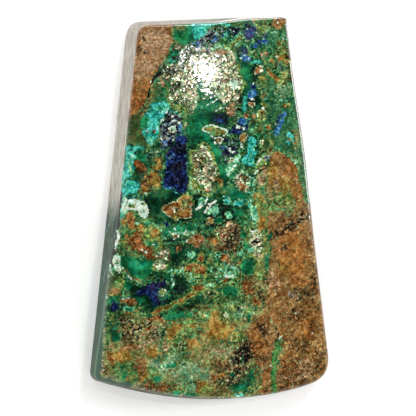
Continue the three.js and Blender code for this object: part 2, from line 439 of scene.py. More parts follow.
# Growths along the left of the face, between the brown wedge and the foot.
LEFT_GROWTHS = [
    Patch("fern", (-8.9, 9.23), (-7.5, 9.83), (-7.4, 8.33), (-7.3, 7.33), (-6.8, 6.53), (-9.1, 6.53)),
    Patch("turquoise", (-6.5, 10.53), (-5.3, 10.73), (-4.6, 10.03), (-5.1, 9.53), (-5.3, 9.03),
        (-5.6, 8.43), (-5.8, 8.03), (-5.9, 7.23), (-6.4, 6.83), (-6.6, 6.23), (-7.1, 7.03),
        (-7.5, 7.73), (-7.6, 8.43), (-7.2, 9.13), (-6.9, 9.73)),
    Spot("emerald", -7.2, 8.5, 0.8, 1.3, -10, fade=1.5),
    Spot("fern", -7.2, 9.8, 0.7, 0.9, 30, fade=1.5),
    Spot("umber", -7.1, 9.9, 1, fade=3),
    *spots("crust", (-5.55, 8.78, 0.8, 0.2, 50), (-6.6, 6.08, 0.24), (-5.95, 5.68, 0.3, 0.14)),
    Spot("viridian", -5.7, 10.05, 0.9, 0.4, 30, fade=3),
    *spots("mint", (-5.9, 8.33, 0.6, 0.24, 40), (-5.2, 9.83, 0.9, 0.24, 35),
        (-6.6, 6.83, 0.3, 0.7, 10)),
    *spots("rust", (-6.85, 7.68, 0.4, 0.2), (-6.3, 7.68, 0.36, 0.2)),
    Spot("black", -6.4, 7.66, 0.16),
    Patch("slate", (-5.2, 9.43), (-4.2, 9.73), (-3.7, 9.23), (-3.5, 8.03), (-3.9, 7.53), (-4.2, 6.63),
        (-4.6, 5.93), (-5.4, 6.23), (-5.7, 6.93), (-5.8, 8.03), (-5.3, 8.93)),
    Spot("ink", -5, 8.9, 0.6, 0.5, fade=3),
    Spot("navy", -5, 6.23, 1.2, 0.5, 20, fade=2),
    Seam("turquoise", 0.14, (-4.8, 9.83), (-4.1, 9.53), (-3.7, 8.93)),
    Spot("cobalt", -3.65, 8, 0.4, 0.6, 20, fade=2.5),
    Spot("cobalt", -5.2, 6.53, 0.3, 0.7, 20, fade=1.5),
    *spots("crust", (-4.95, 9.63, 0.3, 0.24), (-4.4, 9.23, 0.2, 0.26), (-4.3, 8.83, 0.26, 0.2),
        (-3.85, 8.58, 0.34, 0.3), (-6.05, 7.93, 0.28, 0.18), (-4.2, 6.83, 0.2)),
    Spot("crust", -4.4, 7.9, 0.7, 0.66, halo="ink"),
    Spot("lime", -4.42, 7.88, 0.3, 0.26),
    Spot("clast", -3.1, 8.43, 0.3, 0.5, -20, rim="lime"),
    # The navy column.
    Patch("azurite", (-4.1, 7.5), (-3.3, 7.5), (-2.95, 7.13), (-3.1, 5.93), (-3.1, 4.93),
        (-2.95, 3.73), (-2.8, 2.53), (-3.2, 1.63), (-3.8, 1.33), (-4.5, 1.93), (-5.4, 2.23),
        (-5.3, 3.53), (-5.1, 4.73), (-5.1, 5.63), (-4.5, 6.23), (-4, 6.73)),
    *spots("navy", (-4, 4.2, 1.7, 1.2, 30), (-3.9, 6.1, 1.6, 1, 15), (-3.8, 2.9, 1.5, 0.7, -10),
        fade=2),
    *spots("ink", (-4.1, 4.2, 1.3, 0.6, 30), (-3.6, 6, 1.3, 0.7, 20), fade=2),
    Spot("ink", -3.7, 2.8, 0.9, 0.4, fade=3),
    *spots("cobalt", (-4.5, 5.33, 0.8, 0.2, 20), (-5, 4.63, 0.2, 0.7, 10),
        (-4.9, 2.23, 0.7, 0.2, -20)),
    *spots("turquoise", (-4.7, 5.13, 0.2, 0.15), (-5.05, 2.03, 0.24)),
    Spot("turquoise", -4, 1.73, 0.9, 0.2, -30, fade=1.5),
    # Turquoise, rust and cream down the left edge.
    Spot("turquoise", -8.3, 6.1, 2, 0.36),
    Patch("turquoise", (-9.2, 6.23), (-8.6, 6.03), (-8.1, 5.53), (-8.1, 4.63), (-8.3, 3.83),
        (-8.9, 3.33), (-9.5, 2.43), (-9.9, 2.63), (-9.6, 4.13)),
    Spot("viridian", -9.2, 5.23, 0.5, 1.6, -12, fade=2),
    Seam("mint", 0.3, (-8.4, 5.33), (-8.6, 4.63), (-8.6, 3.93)),
    Patch("turquoise", (-9.7, 2.23), (-8.8, 2.93), (-7.8, 2.93), (-7.6, 2.43), (-8, 1.73),
        (-8.4, 1.63), (-9, 1.63), (-9.4, 1.13), (-9.9, 0.83), (-9.9, 1.63)),
    Spot("emerald", -7.5, 5.2, 1.3, 0.9, 10, fade=1.5),
    Spot("deep", -6.3, 6.2, 0.8, 0.5, fade=2),
    Spot("navy", -6.4, 5.28, 0.8, 0.4, 20, fade=2),
    Spot("rust", -7.6, 4.28, 1.3, 0.6, -45, rim="umber"),
    Spot("ochre", -6, 4.5, 0.7, 1.2, rim="umber"),
    Spot("umber", -6.1, 5.03, 0.7, 0.3, 30, fade=2),
    Spot("deep", -6.5, 4.95, 0.8, 1, fade=1.5),
    Patch("ochre", (-7.6, 1.93), (-7.3, 2.83), (-6.9, 3.63), (-6.2, 3.73), (-5.8, 3.33), (-5.6, 2.33),
        (-6.2, 2.13), (-6.8, 2.43), (-7.1, 1.73), (-7.4, 1.53), rim="umber"),
    Spot("umber", -6.9, 3.1, 1, 0.6, 40, fade=1.5),
    Spot("umber", -6.5, 2.3, 0.9, 0.4, fade=2),
    Spot("rust", -7.1, 2.43, 0.6, 0.5, 40),
    Spot("crust", -7.2, 1.63, 0.4, 0.18, 20),
    Spot("lime", -5.8, 2.13, 0.5, 0.3, 20),
    Patch("mint", (-9.7, 1.3), (-9.3, 1.5), (-8.8, 1.2), (-8.8, 0.1), (-9.2, -0.6), (-9.55, -0.7)),
    Spot("turquoise", -9.25, 0.1, 0.8, 1.8, -5, fade=2),
    Spot("mint", -9.2, 0, 0.7, 1.2, -5, fade=1.5),
    Spot("crust", -9.2, 0.5, 0.4, 1.4, -10, fade=1.5),
    Patch("crust", (-8.9, 1.03), (-8.5, 1.05), (-7.9, 1.1), (-7.4, 0.95), (-7, 0.45), (-6.75, -0.2),
        (-7.05, -0.7), (-7.5, -0.65), (-7.9, -0.17), (-8.3, 0.03), (-8.7, -0.07), (-9, 0.33)),
    Seam("ink", 0.16, (-8.9, 1), (-8.5, 1.35), (-7.9, 1.4), (-7.35, 1.1), (-6.95, 0.5), (-6.7, -0.2)),
    Seam("turquoise", 0.14, (-8.6, 1.23), (-7.9, 1.43), (-7.4, 1.08)),
    *spots("slate", (-7.45, 0.53, 0.4, 0.26, -40), (-7.35, -0.12, 0.5, 0.2, 10)),
    Spot("lime", -8.4, 0.43, 0.7, 0.4, fade=1.5),
    # The green body with a rusty streak, and the smooth heart below it.
    Patch("moss", (-9.6, -0.67), (-8.4, -0.87), (-7.4, -0.97), (-6.4, -1.17), (-5.5, -1.87),
        (-5.1, -2.67), (-5.2, -3.67), (-6, -4.87), (-7.5, -4.47), (-9, -4.27), (-9.8, -3.27)),
    Spot("jade", -9.4, -1.8, 0.7, 1.8, fade=2),
    Spot("fern", -6.9, -1.4, 1.6, 0.7, fade=3),
    Spot("fern", -9.6, -3.9, 0.8, 1, fade=2),
    *spots("ochre", (-8.9, -2.9, 0.5, 1), (-7.6, -1.87, 0.9, 1.4, 20), fade=2),
    Patch("rust", (-9, -0.37), (-8.4, -0.27), (-8.3, -1.07), (-8, -1.67), (-8.4, -1.67), (-9, -1.17),
        rim="sienna"),
    Spot("sienna", -9.2, -1.1, 0.4, fade=2),
    Spot("mint", -8, -1.27, 0.5, 0.4, 30, fade=1.5),
    Seam("mint", 0.1, (-7.6, -1.12), (-6.8, -1.17), (-6, -1.57), (-5.5, -2.17), (-5.2, -2.87)),
    Patch("lime", (-7.2, -1.47), (-6.2, -1.47), (-5.5, -2.17), (-5.4, -3.07), (-5.8, -3.67),
        (-6.7, -3.57), (-7.3, -2.87), fade=1.5),
    Spot("ochre", -6.25, -2.27, 0.9, rim="lime", rim_width=0.14),
    Spot("emerald", -6.4, -3.27, 1.3, 0.6, -5, fade=1.5),
    Spot("viridian", -6.9, -3.17, 0.4, 0.3),
    Spot("emerald", -6.9, -1.25, 1.3, 0.4, fade=2),
    Patch("rust", (-8.8, -2.57), (-8.3, -2.47), (-7.9, -1.97), (-7.6, -2.27), (-7.6, -3.07),
        (-7, -3.57), (-6.5, -3.97), (-6.2, -4.57), (-6.6, -4.87), (-7.2, -4.37), (-7.8, -3.97),
        (-8.3, -3.77), (-8.8, -3.47), rim="umber", fade=1.3),
    *spots("umber", (-8.4, -3.27, 0.7, 0.4, 20), (-7, -4.17, 1, 0.3, -35), fade=1.5),
    *spots("crust", (-6.4, -3.22, 0.34, 0.16, -10), (-7.5, -3.87, 0.34, 0.16, -30),
        (-7.1, -4.17, 0.3, 0.12, -30)),
    Spot("fern", -8.4, -4.27, 1.8, 0.5, -5, fade=1.5),
    Spot("clast", -5.5, -4.42, 1.4, 1, -10, rim="umber", fade=1.3),
    Spot("rust", -5.3, -4.57, 0.4, 0.3),
    Spot("clast", -5.7, -5.47, 1.2, 0.9, rim="lime", rim_width=0.14, halo="deep"),
    Spot("lime", -4.75, -3.57, 0.7, 0.5, 10, rim="mint"),
    Patch("emerald", (-9.6, -4.57), (-8.8, -4.57), (-8, -4.87), (-7.3, -4.87), (-6.6, -4.77),
        (-6.3, -5.07), (-6.4, -5.77), (-6.7, -6.47), (-7.3, -6.97), (-7.7, -7.07), (-8.4, -6.67),
        (-9, -6.07), (-9.4, -5.47)),
    Patch("viridian", (-8.6, -4.97), (-8, -5.27), (-7, -4.97), (-6.7, -5.47), (-7.3, -5.77),
        (-7.8, -5.87), (-8.5, -5.67)),
    Seam("crust", 0.12, (-9.3, -5.67), (-8.9, -6.37), (-8.4, -6.77)),
    Seam("rust", 0.14, (-9.1, -5.87), (-8.5, -6.47), (-8, -6.87)),
    Spot("lime", -7.8, -7, 0.5, 0.3, rim="clast", rim_width=0.08),
    # Cream slivers and the gap behind them.
    Seam("black", 0.4, (-9.6, 1.8), (-9.68, 0.6), (-9.74, -0.6), (-9.85, -1.6)),
    Seam("black", 0.3, (-9.85, -1.6), (-10, -2.6), (-10.22, -3.9), (-10.45, -5.2)),
    Patch("crust", (-9.9, -1.77), (-9.7, -2.17), (-9.6, -2.77), (-9.7, -3.17), (-10, -3.97),
        (-10.2, -3.87), (-10, -2.97)),
    Patch("crust", (-9.95, -4.47), (-9.6, -4.57), (-9.6, -5.37), (-9.5, -6.17), (-9.7, -6.37),
        (-9.9, -5.87), (-10.25, -5.47), (-10.25, -4.87), rim="mint", rim_width=0.06),
    Spot("sage", -9.9, -5.1, 0.3, 0.5),
    Spot("lime", -10.6, -6.47, 0.34, 0.5, rim="crust", rim_width=0.08),
    Patch("fern", (-10.8, -6.27), (-10, -6.47), (-9.2, -7.07), (-9.2, -8.27), (-10.4, -8.67),
        (-11.2, -8.27), fade=1.5),
    Spot("moss", -10, -7.3, 1, 0.8, fade=2),
    Spot("lime", -9.55, -7.07, 1, 0.7, -20, fade=1.5),
    *spots("emerald", (-10.1, -8.8, 1.4, 0.7), (-8.8, -7.37, 0.9, 0.7), fade=1.5),
    *spots("crust", (-10.6, -5.6, 0.16, 0.7), (-10.95, -8.37, 0.26, 0.3)),
    Spot("iron", -10.1, -7.97, 0.9, 0.6, fade=2),
    # Navy, and the brown and green below it.
    Patch("azurite", (-5, -6.87), (-6.2, -6.97), (-6.8, -7.27), (-7.4, -7.67), (-8.2, -8.17),
        (-8.3, -8.47), (-7.2, -8.37), (-6.6, -8.47), (-6.6, -8.97), (-6.2, -9.37), (-5.7, -9.37),
        (-5.1, -8.97), (-5, -8.57), (-5.6, -8.47), (-5.9, -7.87), (-5.2, -7.57)),
    *spots("plum", (-6.2, -7.5, 1.6, 0.7, 20), (-5.5, -9, 0.8, 0.5), fade=2),
    Spot("deep", -5.1, -8.8, 1.4, 1, fade=1.3),
    Spot("emerald", -7.6, -8.9, 1, 0.5, fade=2),
    Spot("deep", -6.1, -6.4, 1.4, 0.7, fade=1.5),
    Patch("deep", (-5.2, -6.6), (-3.9, -6.2), (-3.1, -6.8), (-2.4, -7.6), (-3.2, -8.2), (-4.6, -8.7),
        (-5, -8)),
    Spot("ink", -3.9, -7.8, 1.2, 0.8, 20, fade=3),
    Seam("mint", 0.16, (-4.6, -7.6), (-4.4, -6.97), (-4.6, -6.27)),
    Spot("lime", -5.45, -8.12, 0.66, 0.6, 20, rim="crust", rim_width=0.08, halo="deep"),
    Spot("azurite", -10.2, -9.37, 0.9, 1.1, -15),
    Seam("rust", 0.36, (-9.5, -8.87), (-8.8, -8.92), (-8.2, -9.17)),
    Seam("crust", 0.1, (-9.4, -8.67), (-8.7, -8.67)),
    Seam("black", 0.14, (-9.6, -9.17), (-9, -9.37), (-8.4, -9.37)),
    Spot("emerald", -8.7, -9.67, 0.9, 0.5, -15, rim="mint"),
    Seam("ochre", 0.24, (-9.3, -9.97), (-8.6, -10.07), (-8, -9.77)),
]


# Growths across the middle of the face.
MIDDLE_GROWTHS = [
    Patch("jade", (4.9, 10.33), (7.9, 10.03), (8.6, 4.93), (7.6, 5.13), (6.4, 5.93), (5.4, 7.13),
        (4.9, 8.73)),
    Patch("lace", (3.4, 6.33), (5.2, 7.13), (5.4, 5.93), (5.2, 4.13), (5, 2.33), (3.6, 2.13),
        (3.6, 3.53), (4.2, 4.73)),
    Patch("sand", (0.9, 10.43), (1.8, 10.63), (1.9, 9.83), (1.8, 9.23), (1.4, 9.03), (1.1, 9.43),
        rim="clast", rim_width=0.06, halo="deep"),
    Spot("navy", 0.3, 8.83, 1.3, 0.8, -10, fade=2.5),
    Patch("lime", (-1.5, 7.93), (-0.7, 8.23), (0.2, 8.03), (1, 7.73), (0.8, 7.33), (0.1, 7.13),
        (-0.4, 7.23), (-0.9, 7.53), rim="crust", rim_width=0.1, halo="deep"),
    *spots("ochre", (-0.75, 7.83, 0.7, 0.3, -20), (0.45, 7.63, 0.7, 0.3, 10)),
    Spot("sand", 0.1, 6.83, 0.5, rim="crust", rim_width=0.1, halo="deep"),
    Patch("azurite", (2.1, 9.23), (2.8, 9.13), (3.15, 8.33), (3, 7.63), (2.4, 7.33), (1.4, 7.43),
        (1.5, 8.03), (2, 8.33)),
    Spot("cobalt", 2.5, 8.73, 0.9, 0.7, -35),
    Spot("turquoise", 2.8, 8.53, 0.3, 0.5, -30),
    Spot("navy", 2.35, 8.08, 1.1, 0.7),
    *spots("azurite", (0.3, 8.83, 0.9, 0.4, -10), (1.7, 7.68, 0.8, 0.3, 20)),
    Spot("deep", 1.3, 6.95, 0.9, 0.4, fade=1.5),
    Spot("ochre", 2.7, 7.08, 0.85, 0.44, 62, rim="clast", rim_width=0.1, halo="deep"),
    Patch("turquoise", (3.1, 7.03), (3.6, 7.13), (4.2, 6.53), (4.2, 5.93), (3.8, 5.03), (3.4, 4.33),
        (2.7, 4.43), (2.4, 4.73), (3, 5.43), (3.1, 6.23), halo="deep"),
    Seam("mint", 0.06, (3.9, 6.53), (3.3, 5.03)),
    Spot("deep", 4, 6.2, 0.5, 1, fade=2),
    Spot("clast", 4.6, 6.63, 0.5, 0.4, -20, halo="deep"),
    Patch("navy", (0.2, 6.23), (0.8, 6.93), (1.6, 6.83), (2, 6.23), (2, 5.53), (1.4, 5.23), (1, 5.43),
        (0.5, 5.63), fade=1.5),
    Spot("cobalt", 0.5, 6.18, 0.6, 0.4, -20, fade=1.5),
    Spot("slate", 1.4, 6.63, 0.8, 0.3, fade=1.5),
    # The spots in the blue at about (2.2, 8.1) and (1.2, 6.0) are painted glints of the lamp in pits,
    # laid as pale crust.
    *spots("crust", (2.15, 8.13, 0.44, 0.26, -20), (2.65, 8.03, 0.34), (1.5, 5.73, 0.5, 0.2, -10),
        (1.15, 5.98, 0.2, 0.14, 30), (2.4, 6.28, 0.2, 0.36, -20), (0.75, 4.98, 0.3, 0.26)),
    Spot("slate", 0.4, 5.03, 0.8, 0.9, fade=2),
    Patch("mint", (0.5, 3.83), (1, 4.13), (1.5, 4.93), (2.2, 5.53), (2.3, 4.93), (1.8, 4.23),
        (1.4, 3.33), (0.9, 3.33)),
    Spot("turquoise", 0.7, 3.73, 0.9, 0.4, -35),
    Spot("sand", 1.4, 4.83, 0.5, 0.36, 10, rim="crust", rim_width=0.08),
    Seam("crust", 0.08, (0.9, 3.53), (1.4, 3.83), (1.9, 4.63), (2.2, 5.13)),
    Spot("emerald", 1.4, 3.4, 0.8, 0.5, 40, fade=2),
    # The big oval nodule.
    Spot("emerald", -0.9, 4.33, 3.4, 5.4, 10, fade=2.5),
    Spot("emerald", 0, 4.8, 1.1, 1.6, 10, fade=1.3),
    Patch("clast", (-2.5, 5.53), (-2.2, 5.83), (-1.8, 6.23), (-1.3, 6.43), (-0.9, 6.13), (-0.7, 5.53),
        (-0.5, 4.93), (-0.2, 4.43), (-0.1, 3.93), (0, 3.33), (0, 2.63), (-0.2, 2.13), (-0.6, 1.83),
        (-1.3, 1.53), (-1.9, 1.83), (-2.4, 1.93), (-2.75, 2.33), (-2.6, 2.93), (-2.3, 3.43),
        (-2.3, 4.23), (-2.6, 4.83), rim="lime", rim_width=0.3),
    Patch("lime", (-2.7, 2.93), (-2.3, 3.23), (-1.8, 2.63), (-1.3, 1.93), (-1.5, 1.68), (-2.4, 1.93),
        (-2.7, 2.33), rim="mint"),
    Spot("ochre", 0.15, 2.73, 0.7, 1, 20, rim="deep"),
    *spots("rust", (-1.4, 5.83, 0.4, 0.3, -20), (-0.9, 1.83, 0.9, 0.2, 10), fade=1.5),
    Spot("fern", -0.2, 2.5, 0.7, 1, fade=3),
    Spot("sienna", -2.2, 4.53, 0.3, 1.2, fade=2),
    Spot("olive", -1.5, 4.8, 0.8, 1.4, 10, fade=4),
    Patch("clast", (2.4, 3.85), (2.9, 3.65), (3.3, 3.13), (3.3, 2.33), (3, 1.63), (2.5, 1.73),
        (2.1, 2.23), (1.7, 2.73), (1.8, 3.23), (2.1, 3.53), rim="mint", rim_width=0.1, halo="deep"),
    Spot("rust", 2.5, 2.23, 0.9, 0.7, -30, fade=1.5),
    Spot("umber", 2.6, 3.23, 0.9, 0.6, fade=1.5),
    Spot("black", 2.75, 3.03, 0.44, 0.26),
    Seam("mint", 0.22, (3.75, 3.53), (3.65, 2.53), (3.7, 1.53), (3.4, 0.93)),
    Patch("lime", (4, 4.93), (4.9, 5.53), (5.1, 4.53), (4.9, 3.53), (4.7, 2.33), (4, 2.53),
        (4.1, 3.73), fade=2.5),
    Spot("sand", 4.8, 3.7, 1, 1.6, fade=3),
    *spots("crust", (2.4, 2.88, 0.2, 0.14, 20), (4.3, 4.83, 0.9, 0.2, 50), (4, 3.73, 0.7, 0.2, 40)),
    Spot("sand", 4.4, 2.83, 0.8, 1.2, fade=1.5),
    Spot("fern", 5.2, 6.3, 1, fade=1.5),
    Spot("umber", 5.4, 5.93, 0.5, 0.9, -15, rim="lime", rim_width=0.06),
    Spot("slate", 5.05, 5.13, 0.6, 0.5, fade=1.5),
    Spot("lime", 5.6, 6.63, 0.4, 0.5, -20),
    *seams("black", 0.12, [(3.6, 4.33), (4.2, 5.23), (5, 5.93)], [(3.6, 3.23), (4.4, 3.63),
        (5.2, 4.23)]),
    # Blue streak and small nodules to its left and right.
    Seam("cobalt", 0.46, (6.75, 9.28), (6.35, 8.53), (5.95, 7.63)),
    Seam("azurite", 0.16, (6.45, 9.23), (6.1, 8.53), (5.7, 7.73)),
    *spots("crust", (5.95, 8.43, 0.24, 0.16), (8.1, 2.63, 0.24, 0.14)),
    Spot("lime", 4.5, 9.33, 0.8, 0.7, 20, rim="clast", rim_width=0.1),
    Spot("ochre", 4.5, 8.83, 0.5, 0.3, 10, rim="lime"),
    Spot("fern", 4.4, 8.03, 0.7, 1, fade=1.5),
    Spot("deep", 5.3, 8.7, 0.9, 1.6, fade=2),
    Spot("crust", 4.6, 9.83, 0.4, 0.2, -10),
    Spot("rust", 3.6, 9.08, 0.34, rim="umber"),
    Spot("rust", 2.9, 9.28, 0.28, 0.25, rim="clast"),
    Spot("rust", 5.1, 8.03, 0.36, 0.26, rim="lime"),
    *spots("turquoise", (7.5, 7.23, 0.9, 0.5, -60), (7.4, 6.73, 0.9, 0.4, 30), fade=1.5),
    *spots("rust", (4.45, 9.43, 0.3), (7.3, 6.73, 0.4, 0.25, 20)),
    Spot("olive", 8.1, 6.93, 0.6, 1.6, fade=2),
    *spots("mint", (8.25, 4.83, 0.3, 0.5), (3.4, 7.73, 0.4, 0.3, 20), (1.2, 7.28, 0.5, 0.2)),
    Seam("mint", 0.12, (6, 6.03), (7, 5.43), (7.9, 4.73), (8.4, 3.93), (8.7, 2.73)),
    Patch("jade", (8.35, 4.53), (8.9, 4.13), (9.2, 1.53), (8.9, 1.33), (8.6, 2.53), (8.4, 3.53)),
    # The folded orange nodule and its neighbours.
    Patch("ochre", (-5.6, 0.03), (-5.1, 0.48), (-4.5, 0.73), (-3.9, 1.03), (-3.5, 1.33), (-2.9, 1.48),
        (-2.6, 1.03), (-2.6, 0.13), (-2.7, -0.72), (-3, -0.82), (-3.6, -0.57), (-4, -1.07),
        (-4.5, -0.87), (-4.9, -0.47), rim="clast", rim_width=0.08, halo="deep"),
    Seam("rust", 0.3, (-5.2, -0.02), (-4.4, 0.38), (-3.9, 0.63)),
    Spot("rust", -3.1, -0.47, 0.8, 0.34, -15),
    Spot("rust", -4.7, -0.27, 0.5, fade=1.5),
    Spot("clast", -4.15, -0.02, 0.7, 0.5, 20, fade=1.5),
    Spot("olive", -3.2, 0.53, 0.8, 1.1, -10, fade=1.5),
    Seam("lime", 0.14, (-3.6, 1.43), (-2.95, 1.6), (-2.5, 1.23), (-2.45, 0.53)),
    Spot("azurite", -5, -1.37, 0.6, 0.4, 20, fade=1.5),
    Patch("emerald", (-5.3, -1.6), (-2.4, -1.4), (-2.2, -2.2), (-4, -2.9), (-5.2, -2.9), fade=2),
    Spot("ink", -4.9, -3, 0.9, 0.4, -20, fade=2),
    Spot("deep", -4.6, -2.7, 1, 0.7, fade=2),
    Spot("mint", -4.2, -2.25, 0.7, 0.2, -5, fade=1.3),
    Spot("deep", -4.8, -3.7, 0.9, fade=1.5),
    Spot("ochre", -4.25, -2.57, 0.6, 0.3, -5, rim="crust", rim_width=0.08),
    Spot("mint", -3, -2.2, 1.6, 0.4, 8, fade=1.3),
    *spots("lime", (-4.1, -0.82, 0.5, 0.3), (-2.9, -2.27, 0.9, 0.3, 8)),
    Patch("deep", (-4.6, -3.4), (-3.4, -3), (-3.2, -4.6), (-3.7, -5.4), (-4.8, -5.6), (-5, -4.4),
        fade=1.5),
    Patch("rust", (-3.1, -2.97), (-2.5, -2.67), (-1.9, -2.47), (-1.4, -2.77), (-1.4, -3.27),
        (-2, -3.57), (-2.6, -3.37), rim="sand", rim_width=0.1, halo="deep"),
    Spot("ochre", -2.6, -2.97, 0.6, 0.36, 20),
    *seams("crust", 0.08, [(-4.9, -2), (-4.4, -2.4)], [(-4.4, -1.7), (-4.1, -2.3)], [(-3.7, -1.6),
        (-3.7, -2.3)], [(-3.1, -1.7), (-3.4, -2.4)], [(-2.5, -1.9), (-3.1, -2.5)], [(-3.2, -3.1),
        (-2.9, -2.75), (-2.4, -2.5)]),
    Spot("sand", -1.8, -2.97, 0.4, 0.26),
    Spot("rust", -3.8, -3.75, 0.4, 0.2, 30, rim="umber"),
    Seam("mint", 0.2, (-4.9, -6.07), (-4.4, -5.87), (-3.9, -6.07), (-3.4, -5.67), (-2.8, -6.07),
        (-2.4, -6.67)),
    Seam("mint", 0.16, (-4.6, -7.47), (-4.3, -6.97), (-4.6, -6.27)),
    Spot("emerald", -5, -6.4, 0.8, 0.7, fade=1.5),
    Seam("mint", 0.14, (-3.4, -6.07), (-3.3, -6.67), (-2.6, -7.07), (-2.2, -7.57)),
    *spots("crust", (-4.5, -7.17, 0.2, 0.4, -20), (-3.45, -5.57, 0.2)),
    Spot("mint", -2.6, -4.47, 0.9, 0.6, fade=1.5),
    Patch("rust", (-3.3, -5.77), (-2.6, -5.27), (-1.6, -5.27), (-1, -5.67), (-1.2, -6.57),
        (-1.9, -6.37), (-2.3, -6.07), (-3.1, -5.97), rim="lime"),
    Spot("sienna", -2.2, -5.77, 0.8, 0.4, -20),
    Seam("black", 0.16, (-3.2, -5.97), (-2.8, -6.12)),
    Spot("rust", -1.6, -4.67, 0.6, 0.7, rim="lime", halo="deep"),
    # Pale mint crystals.
    Seam("crust", 0.26, (-1.1, 1.23), (-1.2, 0.83), (-1.6, 0.43), (-2.1, 0.13)),
    Seam("crust", 0.2, (-0.2, 0.83), (-0.6, 0.53), (-1, 0.23), (-1.3, -0.17)),
    Seam("crust", 0.14, (-0.9, 0.63), (-0.7, 0.33), (-0.4, 0.33)),
    Spot("crust", -0.3, -0.09, 0.9, 0.32, 5, rim="turquoise", rim_width=0.08),
    *spots("mint", (-1.6, 0.9, 0.9, 0.8), (-0.4, 0, 1.3, 0.8, 20), fade=1.5),
    Spot("viridian", 2.1, 1.4, 1.6, 0.7, fade=3),
    Spot("deep", -0.3, 1.3, 1, 0.6, fade=2),
    Spot("mint", -0.6, -0.45, 0.9, 0.4, fade=2),
    Spot("deep", 0.75, -0.1, 0.6, 0.4, fade=1.5),
    *spots("turquoise", (0.9, 0.93, 0.6, 0.8, 25), (2.2, 0.63, 1, 0.6, -20), rim="mint",
        rim_width=0.08, halo="deep"),
    Spot("emerald", 1.8, -0.27, 1.8, 0.9, -10, fade=1.3),
    Spot("turquoise", 2, -0.22, 0.12),
    Spot("mint", 1.12, -0.62, 0.66, rim="emerald", rim_width=0.1, halo="ink"),
    Spot("emerald", 0.05, -1.02, 0.8, halo="ink"),
    Spot("ochre", -0.75, -1.12, 0.6, 0.7, -40, rim="clast", halo="ink"),
    Seam("black", 0.24, (0.2, 0.33), (0.9, 0.38), (1.6, 0.23)),
    Seam("black", 0.16, (-0.4, -1.57), (0.3, -1.57), (0.8, -1.17)),
    Patch("emerald", (-3, 9.4), (-1.2, 9.5), (-0.6, 8.6), (-1.4, 8.2), (-1.8, 7.5), (-2.8, 7), fade=3),
    Spot("viridian", -1.2, 7.3, 1.4, 0.5, -15, fade=2),
    # Dark speckled rock.
    Patch("umber", (-0.5, -2.27), (0.5, -1.67), (0.8, -1.07), (1.4, -0.97), (2.2, -1.27), (2.6, -2.27),
        (2.3, -3.07), (2.4, -3.87), (1.6, -4.47), (0.8, -4.07), (-0.2, -3.87), (-1.2, -3.67),
        (-1.1, -2.97), fade=1.5),
    Spot("clast", 0.15, -2.42, 0.5, 0.8, rim="lime", halo="umber"),
    Spot("sand", 1.3, -1.42, 0.9, 0.6, -10),
    Spot("sand", 0.8, -2.5, 1.2, 1.3, fade=1.5),
    Spot("grit", 1.4, -2.9, 1.8, 2.4, fade=3),
    Spot("grit", 1.8, -2.57, 0.5, 2, fade=1.5),
    Spot("emerald", 2.6, -2.42, 0.7, halo="umber"),
    Spot("sienna", -0.3, -3.17, 0.9, fade=1.5),
    Spot("rust", 0.9, -4.77, 0.9, 0.7, rim="clast", rim_width=0.06),
    Spot("ink", 0.05, -4.65, 0.36, rim="mint", rim_width=0.08),
    Spot("umber", 1.5, -5.2, 1, 0.9, fade=3),
    Spot("deep", 1.7, -5, 0.9, 0.6, fade=1.5),
    Spot("emerald", 1.7, -4.87, 0.4, 0.3),
    Spot("ochre", 2.4, -5.07, 0.3, 0.4, rim="moss"),
    Spot("mint", 1.3, -6.2, 1.6, 0.9, fade=2.5),
    Spot("turquoise", 1.2, -5.97, 1.2, 0.8, fade=4),
    Spot("jade", 1.2, -5.87, 0.8, 0.6, fade=2),
    Seam("crust", 0.16, (0.7, -6.57), (1.2, -6.72), (1.7, -6.47)),
    Patch("emerald", (2.3, -6.37), (2.4, -5.47), (2.8, -4.87), (3.6, -4.97), (3.8, -5.67),
        (3.7, -6.37)),
    Spot("rust", 0.8, -7.07, 0.8, 0.3, 15),
    Patch("rust", (2.6, -7.07), (3.5, -6.97), (3.6, -7.87), (3.3, -8.47), (2.9, -8.17), (2.5, -7.57),
        rim="umber", fade=2.5),
    Spot("umber", 3.4, -6.87, 0.9, 0.4, fade=1.5),
    Spot("rust", 3.9, -9.17, 0.9, fade=1.3),
    *spots("ink", (4.15, -8.07, 0.44, 0.5), (4.5, -8.77, 0.4, 0.6), fade=1.5),
    Spot("emerald", 5, -5.17, 0.3, 1.4, fade=1.3),
    Spot("moss", 4.3, -6.27, 0.6, 1, rim="lime"),
    Spot("lime", 5.15, -4.07, 0.4, 1, -20),
    Patch("lime", (3, -1.67), (4.4, -1.77), (5, -2.67), (4.9, -4.07), (4.4, -4.87), (4.4, -6.67),
        (3.8, -6.57), (3.9, -4.87), (2.6, -4.27), (3, -2.87), fade=4),
    Patch("clast", (3, -1.8), (4.2, -1.9), (4.8, -2.8), (4.7, -4.4), (4.1, -5), (3.4, -4.2), (3.2, -3),
        fade=4),
    Seam("turquoise", 0.4, (3.35, 0.73), (3.4, -0.17), (3.6, -0.87)),
    Seam("mint", 0.5, (3.5, 1.13), (3.6, -0.27), (3.9, -1.27), fade=1.3),
    Seam("crust", 0.12, (3.4, -0.27), (3.5, -0.87)),
    Patch("ochre", (3.6, 1.73), (4.6, 1.53), (5, 0.33), (5, -1.07), (4.6, -1.87), (4.2, -1.07),
        (4, 0.03), (3.6, 0.93), rim="moss", fade=1.5),
    Spot("lime", 4.1, 0.6, 1, fade=2.5),
    Spot("moss", 4.7, -0.2, 0.8, 1.2, fade=2.5),
    Spot("crust", 3.7, -2.07, 1, 0.18, 10),
    Spot("clast", 4.2, -2.37, 0.8, 0.5),
    Spot("clast", 4.3, -3.57, 1.1, 0.8, -10, fade=1.3),
    *spots("black", (1.7, -2.57, 0.24, 0.9), (4, -3.17, 1.1, 0.26, 5), (3.55, -3.27, 0.3, 0.2, -40)),
    Spot("turquoise", 3.3, -3.9, 0.6, 0.5),
    Spot("mint", 3.25, -3.95, 0.4, 0.3, fade=2),
